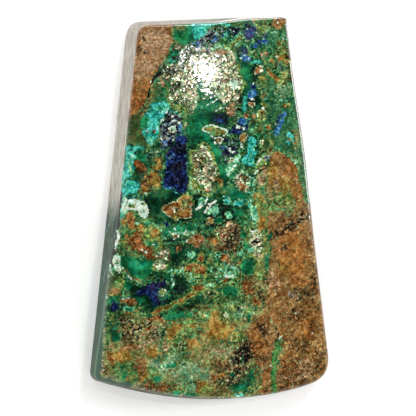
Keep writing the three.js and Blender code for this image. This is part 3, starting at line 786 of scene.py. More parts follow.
    Spot("emerald", 2.9, -3.57, 0.5),
    Spot("mint", 2.5, -4.37, 0.9, 0.5, 10, fade=1.5),
    # The ringed green below the middle.
    Spot("emerald", 1.3, -8.07, 1.5, 1.1, fade=1.3),
    Spot("ink", 1.5, -8.27, 0.4, 0.3, fade=1.5),
    Spot("sand", -0.6, -8.17, 1, 0.7, rim="lime", halo="deep"),
    Spot("black", -0.55, -8.17, 0.4, 0.3, rim="deep"),
    Spot("lime", -1.2, -7.5, 1.2, 0.9, fade=2),
    Spot("mint", -1.1, -7.4, 0.8, 0.4, fade=3),
    Spot("rust", -1.9, -7.67, 1, 0.5, 10, rim="lime"),
    Spot("rust", -1.6, -8.67, 0.6, 0.4, 10, rim="mint"),
    *spots("deep", (0.1, -6.77, 0.5, 0.4), (-0.2, -5.87, 0.7, 0.6), rim="mint"),
]


# Growths in the wide end of the face.
FOOT_GROWTHS = [
    # The orange vein, cream and green at its edges, and the dark green under it.
    Patch("deep", (-2, -8.6), (-3, -9.2), (-4.3, -9.6), (-5, -10.4), (-4, -10.6), (-3.2, -9.9),
        (-2, -9.9)),
    Seam("rust", 0.2, (-2.1, -8.1), (-2.9, -8.4), (-3.5, -8.9), (-4.6, -9.4), (-5.6, -9.8),
        (-6.3, -10.2), rim="lime", rim_width=0.17),
    *spots("rust", (-6.2, -10.65, 1.5, 0.45, 10), (-5.4, -10.85, 0.5, 0.26, -30),
        (-7, -11.65, 1.2, 0.5, 10)),
    Seam("black", 0.16, (-7.5, -11.6), (-7, -11.2), (-6.6, -11)),
    Seam("black", 0.14, (-5.9, -10.6), (-5.4, -10.35)),
    Spot("crust", -6.95, -11.05, 0.2, 0.14),
    Patch("emerald", (-5.3, -10.4), (-4.4, -10.1), (-3.2, -9.9), (-2.2, -10.2), (-2.4, -10.6),
        (-4, -10.7), (-5.2, -10.7), fade=2),
    Patch("deep", (-2.4, -8.6), (-1.6, -8.2), (-1.1, -8.9), (0.3, -9), (0.8, -8.5), (2, -8.6),
        (2.7, -8.9), (3.3, -9.2), (3, -9.7), (1.9, -9.1), (1.3, -9.3), (0.8, -9.6), (-0.2, -9.4),
        (-1.2, -9.3), (-2.4, -9.4)),
    Seam("black", 0.2, (-2.2, -9.8), (-1.5, -9.75)),
    # Green and grey-green clouds in the earthy rock.
    Patch("deep", (-11.6, -9), (-9.6, -9), (-9.2, -10.2), (-9.8, -11), (-9.7, -12.8), (-10.4, -13.2),
        (-11, -12.2), (-11.4, -11), fade=2),
    Spot("emerald", -10, -12.2, 0.7, 1.6, fade=1.5),
    *spots("moss", (-10.7, -12.5, 0.8, 1.2), (-7.8, -10.2, 1.2, 0.6), fade=3),
    Spot("mint", -11.3, -11.2, 0.3, 0.6, fade=1.5),
    *spots("moss", (-10.4, -10.4, 1, 0.8), (1.6, -12.6, 2.2, 1.4), fade=2.5),
    *spots("moss", (-11.2, -13, 0.8, 1), (-9, -15.9, 2.2, 2.8, 10), (-6.2, -16.2, 1.8), (-4.4, -14, 3),
        (-3.2, -11.8, 3.2, 1.4, -20), (0.6, -9.9, 6.4, 1.6, 5), (-3, -17.8, 3.2, 1.2), fade=2),
    *spots("sage", (-4.6, -14.9, 2.4, 1.4, 40), (-2.9, -16.1, 3, 2, 20), (-5.8, -15.1, 1.4, 1),
        (-2.3, -17.5, 1.6, 0.9), fade=2),
    Spot("lime", -4.3, -12.6, 1.6, 1.3, fade=1.5),
    *spots("sage", (-1, -16.4, 1.5, 1.1), (-2.6, -15.6, 0.9, 1), fade=1.5),
    Spot("sage", 0.8, -14, 2, 0.8, fade=2.5),
    Spot("sand", 0.7, -13.9, 1.4, 0.6, fade=3),
    Spot("grit", -9.2, -10.8, 1.2, 0.8, -20, fade=1.5),
    *spots("grit", (-8.4, -12, 2.6, 1.2, 20), (-6, -12.1, 1.6, 1, 20), fade=2),
    *spots("sand", (-7, -13, 1, 0.5, 20), (-5.2, -13.2, 0.9, 1.2), fade=2.5),
    Spot("umber", -8.1, -12.7, 1.1, 0.6, fade=2.5),
    *spots("iron", (-8.8, -13.5, 2, 0.9, 20), (-7.5, -15.4, 1.2, 1.6), fade=3),
    *spots("umber", (0.8, -15.4, 2.4, 1.1), (-9.6, -11.7, 1.2, 0.6, 20), (-6.2, -17.4, 3.4, 0.7, -3),
        (1, -16.6, 2.6, 1.4), fade=2),
    Seam("umber", 0.3, (-3.2, -10.1), (-1.2, -9.7), fade=2),
    Spot("azurite", -10.2, -9.4, 0.9, 1.1, -15),
    # Earthy nodules.
    Patch("ochre", (-5.1, -12.6), (-4.9, -11.6), (-4.4, -11), (-3.7, -11), (-3.6, -11.6), (-4, -12.3),
        (-4.6, -12.9), fade=2),
    Spot("lime", -2.6, -11.3, 1.1, 0.9, fade=2),
    *spots("ochre", (-2.5, -11.4, 0.7, 0.5), (-9.6, -14.4, 2.4, 1.3, 5), fade=2),
    Spot("lime", -1.5, -10.4, 1, 0.9, rim="sage"),
    *spots("ochre", (-1.4, -10.4, 0.5, 0.4), (0.6, -16.2, 0.7, 0.5)),
    Patch("ochre", (-0.6, -9.9), (0.1, -9.6), (0.45, -10.2), (0.4, -10.9), (1.1, -11.1), (1.1, -12),
        (0.6, -12.5), (-0.5, -12.4), (-1, -11.9), (-0.8, -11), rim="lime", fade=1.5),
    Spot("ochre", 0.4, -12, 3.4, 1.8, fade=4),
    Spot("clast", 0.9, -10.4, 0.7, 0.6, rim="lime"),
    Patch("lime", (1.2, -9.7), (1.6, -9.3), (2.3, -9.4), (2.8, -9.7), (3.5, -9.6), (3.6, -10.1),
        (2.9, -10.3), (2.3, -10.9), (1.9, -11.2), (1.6, -10.6), rim="sage", fade=1.5),
    Spot("sage", 2.2, -10.4, 1.3, 1.1, fade=1.5),
    Spot("fern", 1, -9.9, 0.6, 0.8, fade=2),
    Spot("slate", 2.3, -9.7, 0.5, 0.3, fade=1.5),
    *spots("black", (2.75, -10.4, 0.26, 0.3), (-2.2, -17.05, 0.3, 0.2)),
    Spot("emerald", 3.3, -10.7, 0.34, 0.8),
    Spot("sand", 2, -12.7, 1.5, 1, fade=2.5),
    Spot("lime", 2.1, -12.6, 1.1, 0.8, fade=3),
    Spot("ochre", 2, -12.2, 0.8, 0.4, fade=2),
    *spots("ochre", (-6.5, -14, 1.2, 1), (-7.2, -16.3, 0.9, 0.7), fade=3),
    Spot("ochre", -2.4, -13.1, 1.3, 0.9, fade=2.5),
    *spots("rust", (-10.4, -14.65, 0.9, 0.4, -10), (-10.75, -14.05, 0.3, 0.26),
        (-0.2, -16.5, 0.55, 0.5)),
    Seam("deep", 0.34, (-5.3, -11.6), (-5.5, -12.6), (-5.6, -13.6), (-5.2, -14.3)),
    Seam("black", 0.12, (-5.4, -12), (-5.5, -12.5)),
    *spots("emerald", (-4.4, -15.2, 1.2, 0.5, 10), (-8.9, -17.1, 1, 0.7), (-5.9, -16.6, 0.9, 0.6),
        fade=2),
    Spot("grit", -3.6, -13.4, 1, 0.5, 10, fade=1.5),
    Spot("emerald", -9.3, -15.9, 0.5, 1.6, fade=2.5),
    Spot("rust", -8.75, -16.5, 0.35, 0.5),
    Spot("navy", -8.6, -17.3, 0.4, 0.2),
    Patch("grit", (-11.6, -14.9), (-11.1, -14.9), (-10.9, -15.8), (-11.2, -16.3), (-11.6, -16)),
    *spots("rust", (-6.6, -17.2, 1, 0.3, -3), (-5, -17.75, 1, 0.3, -8), fade=2),
    *spots("emerald", (-4, -18.1, 0.9, 0.4), (-2.5, -18.3, 1.2, 0.5), fade=1.5),
    Spot("ochre", -1.4, -17.4, 1.3, 1.2, fade=2.5),
    Spot("lime", -0.9, -17.7, 1, 0.6, fade=2),
    # Black patch and the green at the foot.
    Patch("grit", (3.4, -13), (3.8, -14.2), (3.4, -15.1), (2.4, -15.6), (1.4, -15.5), (1.3, -14.8),
        (1.9, -13.8), (2.5, -13.5), fade=1.5),
    Patch("ink", (3.2, -13.2), (3.5, -14.1), (3.1, -14.9), (2.3, -15.3), (1.8, -14.9), (2.3, -14.1),
        (2.7, -13.6), fade=4),
    Spot("ink", 2, -16.5, 2.4, 0.9, 30, fade=2),
    Patch("grit", (1.4, -15.2), (3.2, -15.2), (3.3, -16.2), (2.4, -17.2), (1.2, -17.2), (0, -17.3),
        (0.1, -16.8), (1.2, -16.2), fade=2),
    *spots("emerald", (1.55, -16.3, 0.4, 0.5), (2.5, -14.9, 0.4, 0.5)),
    Patch("deep", (3.3, -15.8), (4.2, -15.4), (4.1, -16.6), (4, -17.9), (3.2, -18.3), (1.4, -17.9),
        (1.6, -17.3), (2.8, -17), fade=1.5),
    *spots("emerald", (2.4, -17.5, 1.6, 0.6), (3.7, -16.4, 0.6, 1.2), fade=2.5),
    Spot("fern", 4.1, -15.8, 0.5, 0.9, fade=2),
    Spot("turquoise", 2.3, -18.3, 0.95, 0.34, -5),
    Spot("crust", 2.3, -18.35, 0.4, 0.12),
    Spot("lime", 3.5, -17.6, 0.6, 0.4),
    Spot("lime", 4.6, -17.6, 0.6, 0.4, fade=1.5),
    Spot("fern", 4.3, -16.3, 0.9, 1.6, fade=1.5),
    Spot("umber", 4.1, -16.2, 0.8, 1.2, fade=3),
    Spot("sienna", 4.9, -16.5, 0.6, 1.2, fade=2),
    # Within the brown mass.
    Spot("ochre", 5.6, 3, 1.1, 3.2, 10, fade=4),
    *spots("olive", (5.6, 1, 1.6, 2), (7.1, 0.3, 1.6, 1.8), fade=3),
    Spot("ochre", 6.9, 2.3, 1.2, 1.4, fade=5),
    Spot("lime", 7.1, 1.2, 1.4, 1.2, fade=5),
    Spot("sand", 6, 2.5, 1.1, 1.2, fade=5),
    Spot("moss", 5.4, 0.2, 1.8, 1.1, -10, fade=2.5),
    *spots("sienna", (7.5, 4.2, 1, 1.4), (7.9, 1.8, 1.2, 1.8), (9.2, -11.4, 1.6, 3.4), fade=3),
    Spot("umber", 8.9, -0.2, 1, 1.2, fade=3),
    Spot("ochre", 4.4, -1.6, 1, 1.4, fade=3),
    *spots("umber", (6.9, -1, 1.6, 0.7, 20), (8.4, -13.5, 2.2, 0.7), (8.2, -15.2, 1.6, 1), fade=2),
    *spots("sienna", (7.6, -4.6, 2.6, 5, 10), (9.3, -12.7, 0.9, 0.7), fade=1.5),
    Spot("ochre", 6.9, -5.9, 1.2, 1.4, fade=5),
    Spot("sienna", 8.4, -7.1, 2, 1.2, fade=1.2),
    Spot("rust", 8.3, -6.9, 1.8, 1, fade=3),
    Spot("sand", 5.8, -7.2, 1, 1.6, 20, fade=4),
    Spot("umber", 8.8, -8.4, 2, 1, fade=2.5),
    Spot("umber", 9.9, -7.6, 0.7, 3, -10, fade=3),
    Spot("grit", 8.3, -8.7, 0.6, 1, fade=1.5),
    Spot("umber", 8.3, -10.2, 1.6, 1.2, fade=3),
    Spot("sienna", 7.2, -15.6, 1.4, fade=3),
    Spot("umber", 7.8, -16.2, 3.4, 1.4, 10, fade=4),
    *spots("sand", (9.1, -15.4, 1.1, 0.9, 30), (8.9, -16.7, 1.4, 0.6, 20), fade=2),
    Spot("umber", 10.4, -15.2, 0.9, 3.2, -20, fade=2.5),
    Spot("umber", 7.6, -17.4, 4, 0.6, 12, fade=2),
    Seam("umber", 0.7, (6.1, -2.5), (6.4, -2.3), (6.9, -1.9), (7.8, -1.3), fade=2),
    Seam("ink", 0.36, (6.1, -2.4), (6.4, -2.2), (6.8, -1.95)),
    *seams("ink", 0.16, [(6.2, -2.7), (6.9, -2.3), (7.6, -1.7), (8.2, -1.3)], [(6.8, -1.9),
        (7.4, -1.4), (7.8, -1.2)]),
    Seam("sand", 0.1, (6, -2.5), (6.6, -2.2), (7.2, -1.7)),
    Seam("grit", 0.55, (7.3, -1.5), (8.4, -1), (9.6, -0.6), fade=2),
    Seam("black", 0.14, (5.4, -2.95), (6.2, -2.35), (7, -1.85), (7.7, -1.4), (8.6, -0.9)),
    Spot("emerald", 5.35, -2.6, 0.4, 0.8, -15),
    Spot("umber", 6.8, -3.75, 0.7, 0.5, fade=1.5),
    *spots("black", (6.8, -3.75, 0.4, 0.16, -20), (7.8, -9.85, 0.26, 0.2), (7.8, -12, 0.16, 0.2),
        (8.7, -14.05, 0.24, 0.18)),
    Spot("slate", 7.65, -8.55, 0.4, 0.3, fade=1.5),
    Spot("ink", 9.6, -11.5, 0.5, 0.24, fade=1.5),
    Spot("rust", 9.3, -12.35, 0.5, 0.3),
    *spots("crust", (9.72, -12.35, 0.16, 0.14), (7.1, -10.4, 0.24, 0.12, 20), (7.98, -10.2, 0.12)),
    # The dark brown rock between the green foot and the brown mass.
    Spot("umber", 4.6, -11.8, 1.6, 0.8, -30, fade=2),
    Spot("sienna", 4, -12.7, 1.4, 0.6, fade=2),
    Spot("umber", 4.6, -14.6, 1.4, fade=3),
    Spot("rust", 4.4, -13.7, 1.8, 1.2, fade=3),
    Seam("ink", 0.3, (4.25, -11.35), (4.55, -11.7), (4.8, -12.4), fade=1.5),
    Seam("ink", 0.16, (5.1, -12.2), (5.6, -12.25)),
    Seam("black", 0.12, (5.8, -11.4), (6.3, -12.3), (6.1, -12.9), (5.7, -13.3)),
    Seam("sage", 0.12, (5.5, -10.8), (5.85, -11.6), (6.1, -12.1)),
    Seam("crust", 0.16, (6.1, -13), (6.55, -12.7)),
    Seam("moss", 0.6, (6.4, -13.3), (6.2, -15), fade=4),
    Seam("fern", 0.6, (6.1, -13.2), (5.95, -14.6), (5.85, -16), (5.85, -18.2)),
    Seam("grass", 0.34, (6.05, -13.4), (5.95, -14.6), (5.85, -16), (5.85, -18.2)),
    *spots("crust", (5.6, -15.55, 0.3, 0.18, -30), (6.1, -16.05, 0.18, 0.12)),
    Seam("sand", 0.14, (6.4, -16.4), (6.9, -16.6), (7.4, -16.65)),
]


# ---------------------------------------------------------------------------------------------
# The minerals.

# A mineral's darkest, middle and lightest tone, the warm and cool hues that stray through it, and
# the kind of grain that mixes them. Then how softly its edge fades and how far its grains
# straggle across it, in millimetres, how much of it dark and pale specks take, and how rough it
# polishes.
Mineral = namedtuple(
    "Mineral", "label use dark middle light warm cool kind softness straggle specks flecks polish"
)

# The malachite is what lies between all others. They follow from the lowest to the one that
# covers the rest, and each has a field of its own.
MINERALS = {
    "malachite": Mineral(
        "Malachite", "Green between the other minerals",
        (3, 40, 21), (21, 84, 49), (85, 144, 99), (73, 104, 44), (14, 104, 73),
        "mottled", 0.1, 0.2, 0.45, 0.35, 0.05),
    "lace": Mineral(
        "Malachite lace", "Green full of small ringed nodules",
        (3, 42, 23), (33, 90, 45), (110, 158, 97), (104, 97, 44), (14, 101, 56),
        "mottled", 0.3, 0.6, 0.6, 0.45, 0.06),
    "deep": Mineral(
        "Deep malachite", "Darkest green areas",
        (3, 26, 16), (9, 50, 31), (31, 90, 59), (38, 70, 31), (7, 77, 50),
        "smooth", 0.25, 0.5, 0.3, 0.15, 0.05),
    "jade": Mineral(
        "Smooth malachite", "Even mid-green areas",
        (20, 62, 39), (38, 88, 56), (80, 130, 92), (73, 104, 56), (28, 98, 62),
        "mottled", 0.25, 0.4, 0.08, 0.06, 0.06),
    "fern": Mineral(
        "Dark olive green", "Even dark olive areas",
        (31, 50, 23), (56, 75, 38), (85, 104, 56), (87, 73, 35), (38, 84, 49),
        "smooth", 0.12, 0.3, 0.1, 0.05, 0.07),
    "moss": Mineral(
        "Moss green", "Yellowish green areas",
        (38, 80, 38), (88, 122, 65), (138, 170, 108), (132, 116, 60), (66, 128, 76),
        "earthy", 0.14, 0.4, 0.4, 0.35, 0.07),
    "olive": Mineral(
        "Olive rock", "Earthy rock of the wide end",
        (68, 72, 36), (114, 114, 67), (156, 154, 106), (140, 104, 52), (84, 117, 64),
        "earthy", 0.12, 0.4, 0.45, 0.35, 0.12),
    "sage": Mineral(
        "Sage rock", "Pale grey-green rock of the wide end",
        (58, 104, 66), (100, 138, 98), (154, 182, 142), (132, 124, 82), (84, 140, 104),
        "earthy", 0.12, 0.4, 0.4, 0.5, 0.12),
    "iron": Mineral(
        "Brown rock", "Iron-stained rock",
        (84, 58, 28), (126, 94, 53), (160, 132, 87), (151, 92, 40), (106, 92, 54),
        "earthy", 0.05, 0.12, 0.45, 0.4, 0.08),
    "tan": Mineral(
        "Tan-brown rock", "Smoother pale brown rock",
        (116, 88, 57), (149, 116, 81), (172, 146, 114), (150, 106, 64), (132, 112, 84),
        "coarse", 0.15, 0.3, 0.22, 0.34, 0.08),
    "sienna": Mineral(
        "Orange-brown rock", "Warmest iron-stained rock",
        (94, 59, 24), (139, 90, 42), (172, 127, 73), (158, 92, 36), (118, 90, 49),
        "earthy", 0.2, 0.3, 0.3, 0.2, 0.07),
    "umber": Mineral(
        "Dark brown rock", "Darkest iron-stained rock",
        (40, 26, 12), (80, 56, 31), (122, 92, 59), (110, 66, 31), (63, 64, 40),
        "grainy", 0.12, 0.4, 0.6, 0.3, 0.1),
    "grit": Mineral(
        "Dark grit", "Black and brown speckled rock",
        (16, 16, 9), (66, 61, 37), (150, 141, 106), (104, 73, 44), (49, 73, 49),
        "coarse", 0.12, 0.4, 0.9, 0.9, 0.12),
    "sand": Mineral(
        "Sandy rock", "Grainy pale brown rock",
        (94, 68, 40), (130, 106, 70), (179, 160, 127), (139, 97, 61), (122, 111, 87),
        "coarse", 0.1, 0.3, 0.5, 0.7, 0.08),
    # The pale coarse rock's near-white light tone and many pale flecks are partly painted sparkle:
    # they stand for the glints of its polished grains as well as their pale colour.
    "clast": Mineral(
        "Tan rock", "Coarse pale nodules",
        (48, 74, 48), (138, 142, 106), (222, 224, 198), (168, 132, 98), (92, 134, 92),
        "coarse", 0.04, 0.1, 0.7, 0.9, 0.06),
    "grass": Mineral(
        "Leaf green", "Even leaf-green veins",
        (30, 78, 30), (58, 116, 52), (104, 152, 84), (84, 104, 44), (34, 112, 60),
        "mottled", 0.1, 0.14, 0.2, 0.15, 0.06),
    "ochre": Mineral(
        "Ochre", "Yellow-brown nodules",
        (77, 54, 19), (130, 97, 42), (177, 148, 84), (148, 96, 37), (106, 103, 45),
        "earthy", 0.05, 0.14, 0.3, 0.2, 0.08),
    "lime": Mineral(
        "Lime", "Yellow-green nodules",
        (47, 80, 31), (97, 124, 59), (157, 176, 106), (130, 120, 59), (70, 122, 63),
        "mottled", 0.05, 0.2, 0.5, 0.4, 0.08),
    "emerald": Mineral(
        "Emerald", "Smooth malachite",
        (5, 61, 37), (14, 90, 54), (44, 139, 90), (26, 101, 45), (17, 106, 80),
        "smooth", 0.07, 0.14, 0.1, 0.06, 0.05),
    "viridian": Mineral(
        "Bright malachite", "Smoothest, brightest malachite",
        (9, 96, 57), (21, 130, 85), (61, 165, 122), (35, 139, 78), (17, 130, 104),
        "smooth", 0.3, 0.2, 0.0, 0.05, 0.05),
    "turquoise": Mineral(
        "Chrysocolla", "Turquoise patches",
        (8, 92, 80), (32, 150, 133), (110, 204, 190), (32, 139, 104), (50, 160, 158),
        "mottled", 0.04, 0.14, 0.0, 0.25, 0.08),
    "slate": Mineral(
        "Slate", "Grey-blue speckled rock",
        (9, 16, 19), (44, 57, 63), (139, 153, 150), (61, 57, 47), (47, 70, 85),
        "coarse", 0.1, 0.3, 0.5, 0.6, 0.07),
    "azurite": Mineral(
        "Azurite", "Blue patches",
        (5, 7, 24), (12, 19, 54), (40, 68, 124), (16, 19, 52), (17, 44, 87),
        "mottled", 0.08, 0.22, 0.3, 0.12, 0.05),
    "plum": Mineral(
        "Plum azurite", "Soft dull violet patches",
        (10, 10, 30), (28, 32, 64), (66, 76, 120), (40, 28, 50), (22, 50, 74),
        "smooth", 0.2, 0.3, 0.15, 0.1, 0.06),
    "cobalt": Mineral(
        "Bright azurite", "Light blue crystals",
        (21, 49, 96), (42, 94, 150), (111, 169, 197), (26, 61, 139), (52, 122, 174),
        "mottled", 0.07, 0.2, 0.2, 0.3, 0.06),
    "navy": Mineral(
        "Dark azurite", "Nearly black cores",
        (5, 5, 16), (16, 16, 42), (45, 54, 94), (19, 17, 35), (17, 31, 61),
        "mottled", 0.14, 0.3, 0.4, 0.06, 0.05),
    "ink": Mineral(
        "Black azurite", "Soft black areas",
        (2, 3, 3), (12, 13, 13), (40, 42, 42), (26, 21, 17), (12, 23, 30),
        "mottled", 0.14, 0.3, 0.1, 0.1, 0.05),
    "mint": Mineral(
        "Mint", "Pale green rims and veins",
        (31, 112, 72), (96, 172, 126), (184, 222, 190), (120, 176, 108), (74, 172, 136),
        "mottled", 0.04, 0.16, 0.15, 0.25, 0.1),
    "rust": Mineral(
        "Rust", "Orange stains and nodules",
        (61, 31, 12), (117, 70, 31), (171, 124, 75), (143, 80, 33), (108, 80, 42),
        "mottled", 0.06, 0.18, 0.35, 0.12, 0.1),
    "crust": Mineral(
        "Pale crust", "Cream and mint crust",
        (130, 174, 148), (200, 214, 198), (232, 232, 226), (204, 198, 160), (168, 208, 186),
        "mottled", 0.03, 0.1, 0.18, 0.1, 0.16),
    "black": Mineral(
        "Cracks", "Cracks and pits",
        (3, 3, 3), (10, 9, 7), (38, 30, 24), (12, 10, 9), (7, 9, 9),
        "smooth", 0.03, 0.1, 0.0, 0.0, 0.12),
}
FIELDS = list(MINERALS)[1:]


def mineral_fields(places):
    """How deep each place lies inside each mineral, in millimetres, and below 0 outside it.

    A growth clears away the minerals that would cover it, and lies over the lower ones."""
    fields = {name: np.full(len(places), -FAR) for name in FIELDS}

    def lay(mineral, near, depth):
        fields[mineral][near] = np.maximum(fields[mineral][near], depth)
        for name in FIELDS[FIELDS.index(mineral) + 1 :]:
            fields[name][near] = np.minimum(fields[name][near], -depth)

    for growth in GROUNDS + HEAD_GROWTHS + LEFT_GROWTHS + MIDDLE_GROWTHS + FOOT_GROWTHS:
        near = growth.near(places)
        depth = growth.depth(places[near])
        if growth.halo:
            lay(growth.halo, near, (depth + growth.rim_width + HALO_WIDTH) / growth.fade)
        if growth.rim:
            lay(growth.rim, near, (depth + growth.rim_width) / growth.fade)
        lay(growth.mineral, near, depth / growth.fade)
    return {name: np.clip(field, -FAR, FAR) for name, field in fields.items()}


# ---------------------------------------------------------------------------------------------
# The outline and the surface over it.


def arc(start, pull, end, share_from=0.0, share_to=1.0, steps=24):
    """Points of the quadratic curve from start to end that leaves and arrives towards pull."""
    share = np.linspace(share_from, share_to, steps)[:, None]
    return (1 - share) ** 2 * start + 2 * share * (1 - share) * pull + share**2 * end


def corner_arcs(corner, before, after, reach):
    """The two halves of a rounded corner, the one that arrives at its middle and the rest."""
    start = corner + reach * (before - corner) / np.linalg.norm(before - corner)
    end = corner + reach * (after - corner) / np.linalg.norm(after - corner)
    return arc(start, corner, end, 0.0, 0.5), arc(start, corner, end, 0.5, 1.0)


def evenly(points, count):
    """count steps of equal length along a row of points, with the last point left off."""
    steps = np.linalg.norm(np.diff(points, axis=0), axis=1)
    points = points[np.concatenate(([True], steps > 1e-9))]
    way = np.concatenate(([0], np.cumsum(np.linalg.norm(np.diff(points, axis=0), axis=1))))
    wanted = np.linspace(0, way[-1], count + 1)[:-1]
    return np.column_stack([np.interp(wanted, way, points[:, k]) for k in (0, 1)])


class Outline:
    """The slab's outline, anticlockwise from the middle of its foot's left corner."""

    def __init__(self, across, along):
        foot_right = corner_arcs(FOOT_RIGHT, BOW_PULL, HEAD_RIGHT, FOOT_RIGHT_REACH)
        head_right = corner_arcs(HEAD_RIGHT, FOOT_RIGHT, HEAD_LEFT, HEAD_RIGHT_REACH)
        head_left = corner_arcs(HEAD_LEFT, HEAD_RIGHT, FOOT_LEFT, HEAD_LEFT_REACH)
        foot_left = corner_arcs(FOOT_LEFT, HEAD_LEFT, BOW_PULL, FOOT_LEFT_REACH)
        bow = arc(foot_left[1][-1], BOW_PULL, foot_right[0][0], steps=120)
        self.at = np.concatenate([
            evenly(np.concatenate((foot_left[1], bow, foot_right[0])), across),
            evenly(np.concatenate((foot_right[1], head_right[0])), along),
            evenly(np.concatenate((head_right[1], head_left[0])), across),
            evenly(np.concatenate((head_left[1], foot_left[0])), along),
        ])
        run = np.roll(self.at, -1, axis=0) - np.roll(self.at, 1, axis=0)
        run /= np.linalg.norm(run, axis=1)[:, None]
        self.out = np.column_stack((run[:, 1], -run[:, 0]))
        self.across = across
        self.along = along

    def inset(self, width):
        return self.at - self.out * np.reshape(width, (-1, 1))

    def cover(self, ring, u, v):
        """Spreads the unit square's point u, v over the area inside a ring of the outline."""
        a, b = self.across, self.along
        foot, right = ring[: a + 1], ring[a : a + b + 1]
        head = ring[a + b : 2 * a + b + 1][::-1]
        left = np.concatenate((ring[2 * a + b :], ring[:1]))[::-1]
        i, j = round(u * a), round(v * b)
        sides = (1 - u) * left[j] + u * right[j] + (1 - v) * foot[i] + v * head[i]
        corners = (
            (1 - u) * (1 - v) * foot[0] + u * (1 - v) * foot[-1]
            + (1 - u) * v * head[0] + u * v * head[-1]
        )
        return sides - corners

    def place(self, u, v):
        """The number of the outline's point that the unit square's edge point u, v is, or -1."""
        a, b = self.across, self.along
        i, j = round(u * a), round(v * b)
        if j == 0:
            return i
        if i == a:
            return a + j
        if j == b:
            return a + b + (a - i)
        if i == 0:
            return 2 * a + b + (b - j)
        return -1


def arch(place, start, end):
    """A parabola that is 0 at both ends and 1 halfway between them."""
    share = (place - start) / (end - start)
    return 4 * share * (1 - share)


def line(place, low, high, low_value, high_value):
    return low_value + (place - low) / (high - low) * (high_value - low_value)


def crown(points, rise):
    """The dome's height above the rolled edge, from an arch across times an arch along."""
    x, y = points[:, 0], points[:, 1]
    left = line(y, FOOT_LEFT[1], HEAD_LEFT[1], FOOT_LEFT[0], HEAD_LEFT[0])
    right = line(y, FOOT_RIGHT[1], HEAD_RIGHT[1], FOOT_RIGHT[0], HEAD_RIGHT[0])
    foot = line(x, FOOT_LEFT[0], FOOT_RIGHT[0], FOOT_LEFT[1], FOOT_RIGHT[1])
    foot = foot - BOW_DEPTH * arch(x, FOOT_LEFT[0], FOOT_RIGHT[0])
    head = line(x, HEAD_LEFT[0], HEAD_RIGHT[0], HEAD_LEFT[1], HEAD_RIGHT[1])
    level = np.clip(arch(x, left, right) * arch(y, foot, head), 0, 1)
    return rise * level**CROWN_FLATNESS


def roll_widths(outline, shape):
    """How wide the rolled edge is at each point of the outline."""
    side = (1 + outline.out[:, 0]) / 2
    near = np.linalg.norm(outline.at - FOOT_LEFT, axis=1) / CORNER_ROLL_SPREAD
    narrow, broad = shape.roll_left / MM, shape.roll_right / MM
    return narrow + (broad - narrow) * side + CORNER_ROLL * np.exp(-near * near)


def leaning(outline):
    """What is left of the walls' lean at each point of the outline, 1 where it is all there."""
    x, y = outline.at.T
    facing_x, facing_y = outline.out.T
    left = smooth_step(-y, *LEFT_UPRIGHT_FROM) * smooth_step(-facing_x, 0, FACING)
    head = smooth_step(x, *HEAD_UPRIGHT_FROM) * smooth_step(facing_y, 0.4, FACING)
    off = np.abs(y - RIGHT_UPRIGHT_AT) / RIGHT_UPRIGHT_REACH
    right = smooth_step(-off, -1, 0) * smooth_step(facing_x, 0, FACING)
    return (1 - LEFT_UPRIGHT * left) * (1 - HEAD_UPRIGHT * head) * (1 - RIGHT_UPRIGHT * right)


def side_rings(outline, shape):
    """The rings of the slab's side in turn, from the edge of the face down to the back."""
    rolls = roll_widths(outline, shape)
    top = shape.wall_top / MM
    rise = shape.crown_rise / MM
    lean = (top - BACK_CHAMFER) * math.tan(shape.wall_lean) * leaning(outline)
    rings = []
    for step in range(ROLL_RINGS, -1, -1):
        turn = step / ROLL_RINGS * math.pi / 2
        at = outline.inset(SKIN_GAP + lean + (1 - math.cos(turn)) * rolls)
        height = top + ROLL_DROP * math.sin(turn) + crown(at, rise) * math.sin(turn)
        rings.append((at, height - SKIN_GAP))
    for step in range(1, WALL_RINGS + 1):
        share = step / WALL_RINGS
        height = top + (BACK_CHAMFER - top) * share
        rings.append((outline.inset(SKIN_GAP + lean * (1 - share)), height))
    rings.append((outline.inset(SKIN_GAP + BACK_CHAMFER / 2), BACK_CHAMFER / 4))
    rings.append((outline.inset(SKIN_GAP + BACK_CHAMFER), 0.0))
    return [(at, np.broadcast_to(height, len(at))) for at, height in rings]


def face_of(mesh, outline, ring, height_of, coarser=1):
    """Adds a grid that covers a ring of the outline, and returns the edges of its rim."""
    across, along = outline.across // coarser, outline.along // coarser
    made = bmesh.ops.create_grid(mesh, x_segments=across, y_segments=along, size=1.0)["verts"]
    way = mesh.verts.layers.int["way"]
    for vert in made:
        u, v = (vert.co.x + 1) / 2, (vert.co.y + 1) / 2
        at = outline.cover(ring, u, v)
        vert[way] = outline.place(u, v)
        vert.co = (at[0], at[1], 0.0)
    heights = height_of(np.array([vert.co[:2] for vert in made]))
    for vert, height in zip(made, heights):
        vert.co.z = height
    return list({edge for vert in made for edge in vert.link_edges if edge.is_boundary})


def stone_mesh(shape):
    """The slab: a fine grid for the face, drawn down in rings to the back, and closed there."""
    outline = Outline(CELLS_ACROSS, CELLS_ALONG)
    rings = side_rings(outline, shape)
    rise = shape.crown_rise / MM
    top = shape.wall_top / MM + ROLL_DROP - SKIN_GAP

    mesh = bmesh.new()
    way = mesh.verts.layers.int.new("way")
    rim = face_of(mesh, outline, rings[0][0], lambda points: top + crown(points, rise))
    for at, heights in rings[1:]:
        drawn = bmesh.ops.extrude_edge_only(mesh, edges=rim)["geom"]
        for vert in drawn:
            if isinstance(vert, bmesh.types.BMVert):
                k = vert[way]
                vert.co = (at[k][0], at[k][1], heights[k])
        rim = [
            edge for edge in drawn
            if isinstance(edge, bmesh.types.BMEdge) and edge.is_boundary
        ]
    back = outline.inset(SKIN_GAP + BACK_CHAMFER + BACK_BAND)
    back_rim = face_of(mesh, outline, back, lambda points: np.zeros(len(points)), BACK_COARSER)
    bmesh.ops.bridge_loops(mesh, edges=rim + back_rim)
    bmesh.ops.recalc_face_normals(mesh, faces=mesh.faces)
    return mesh


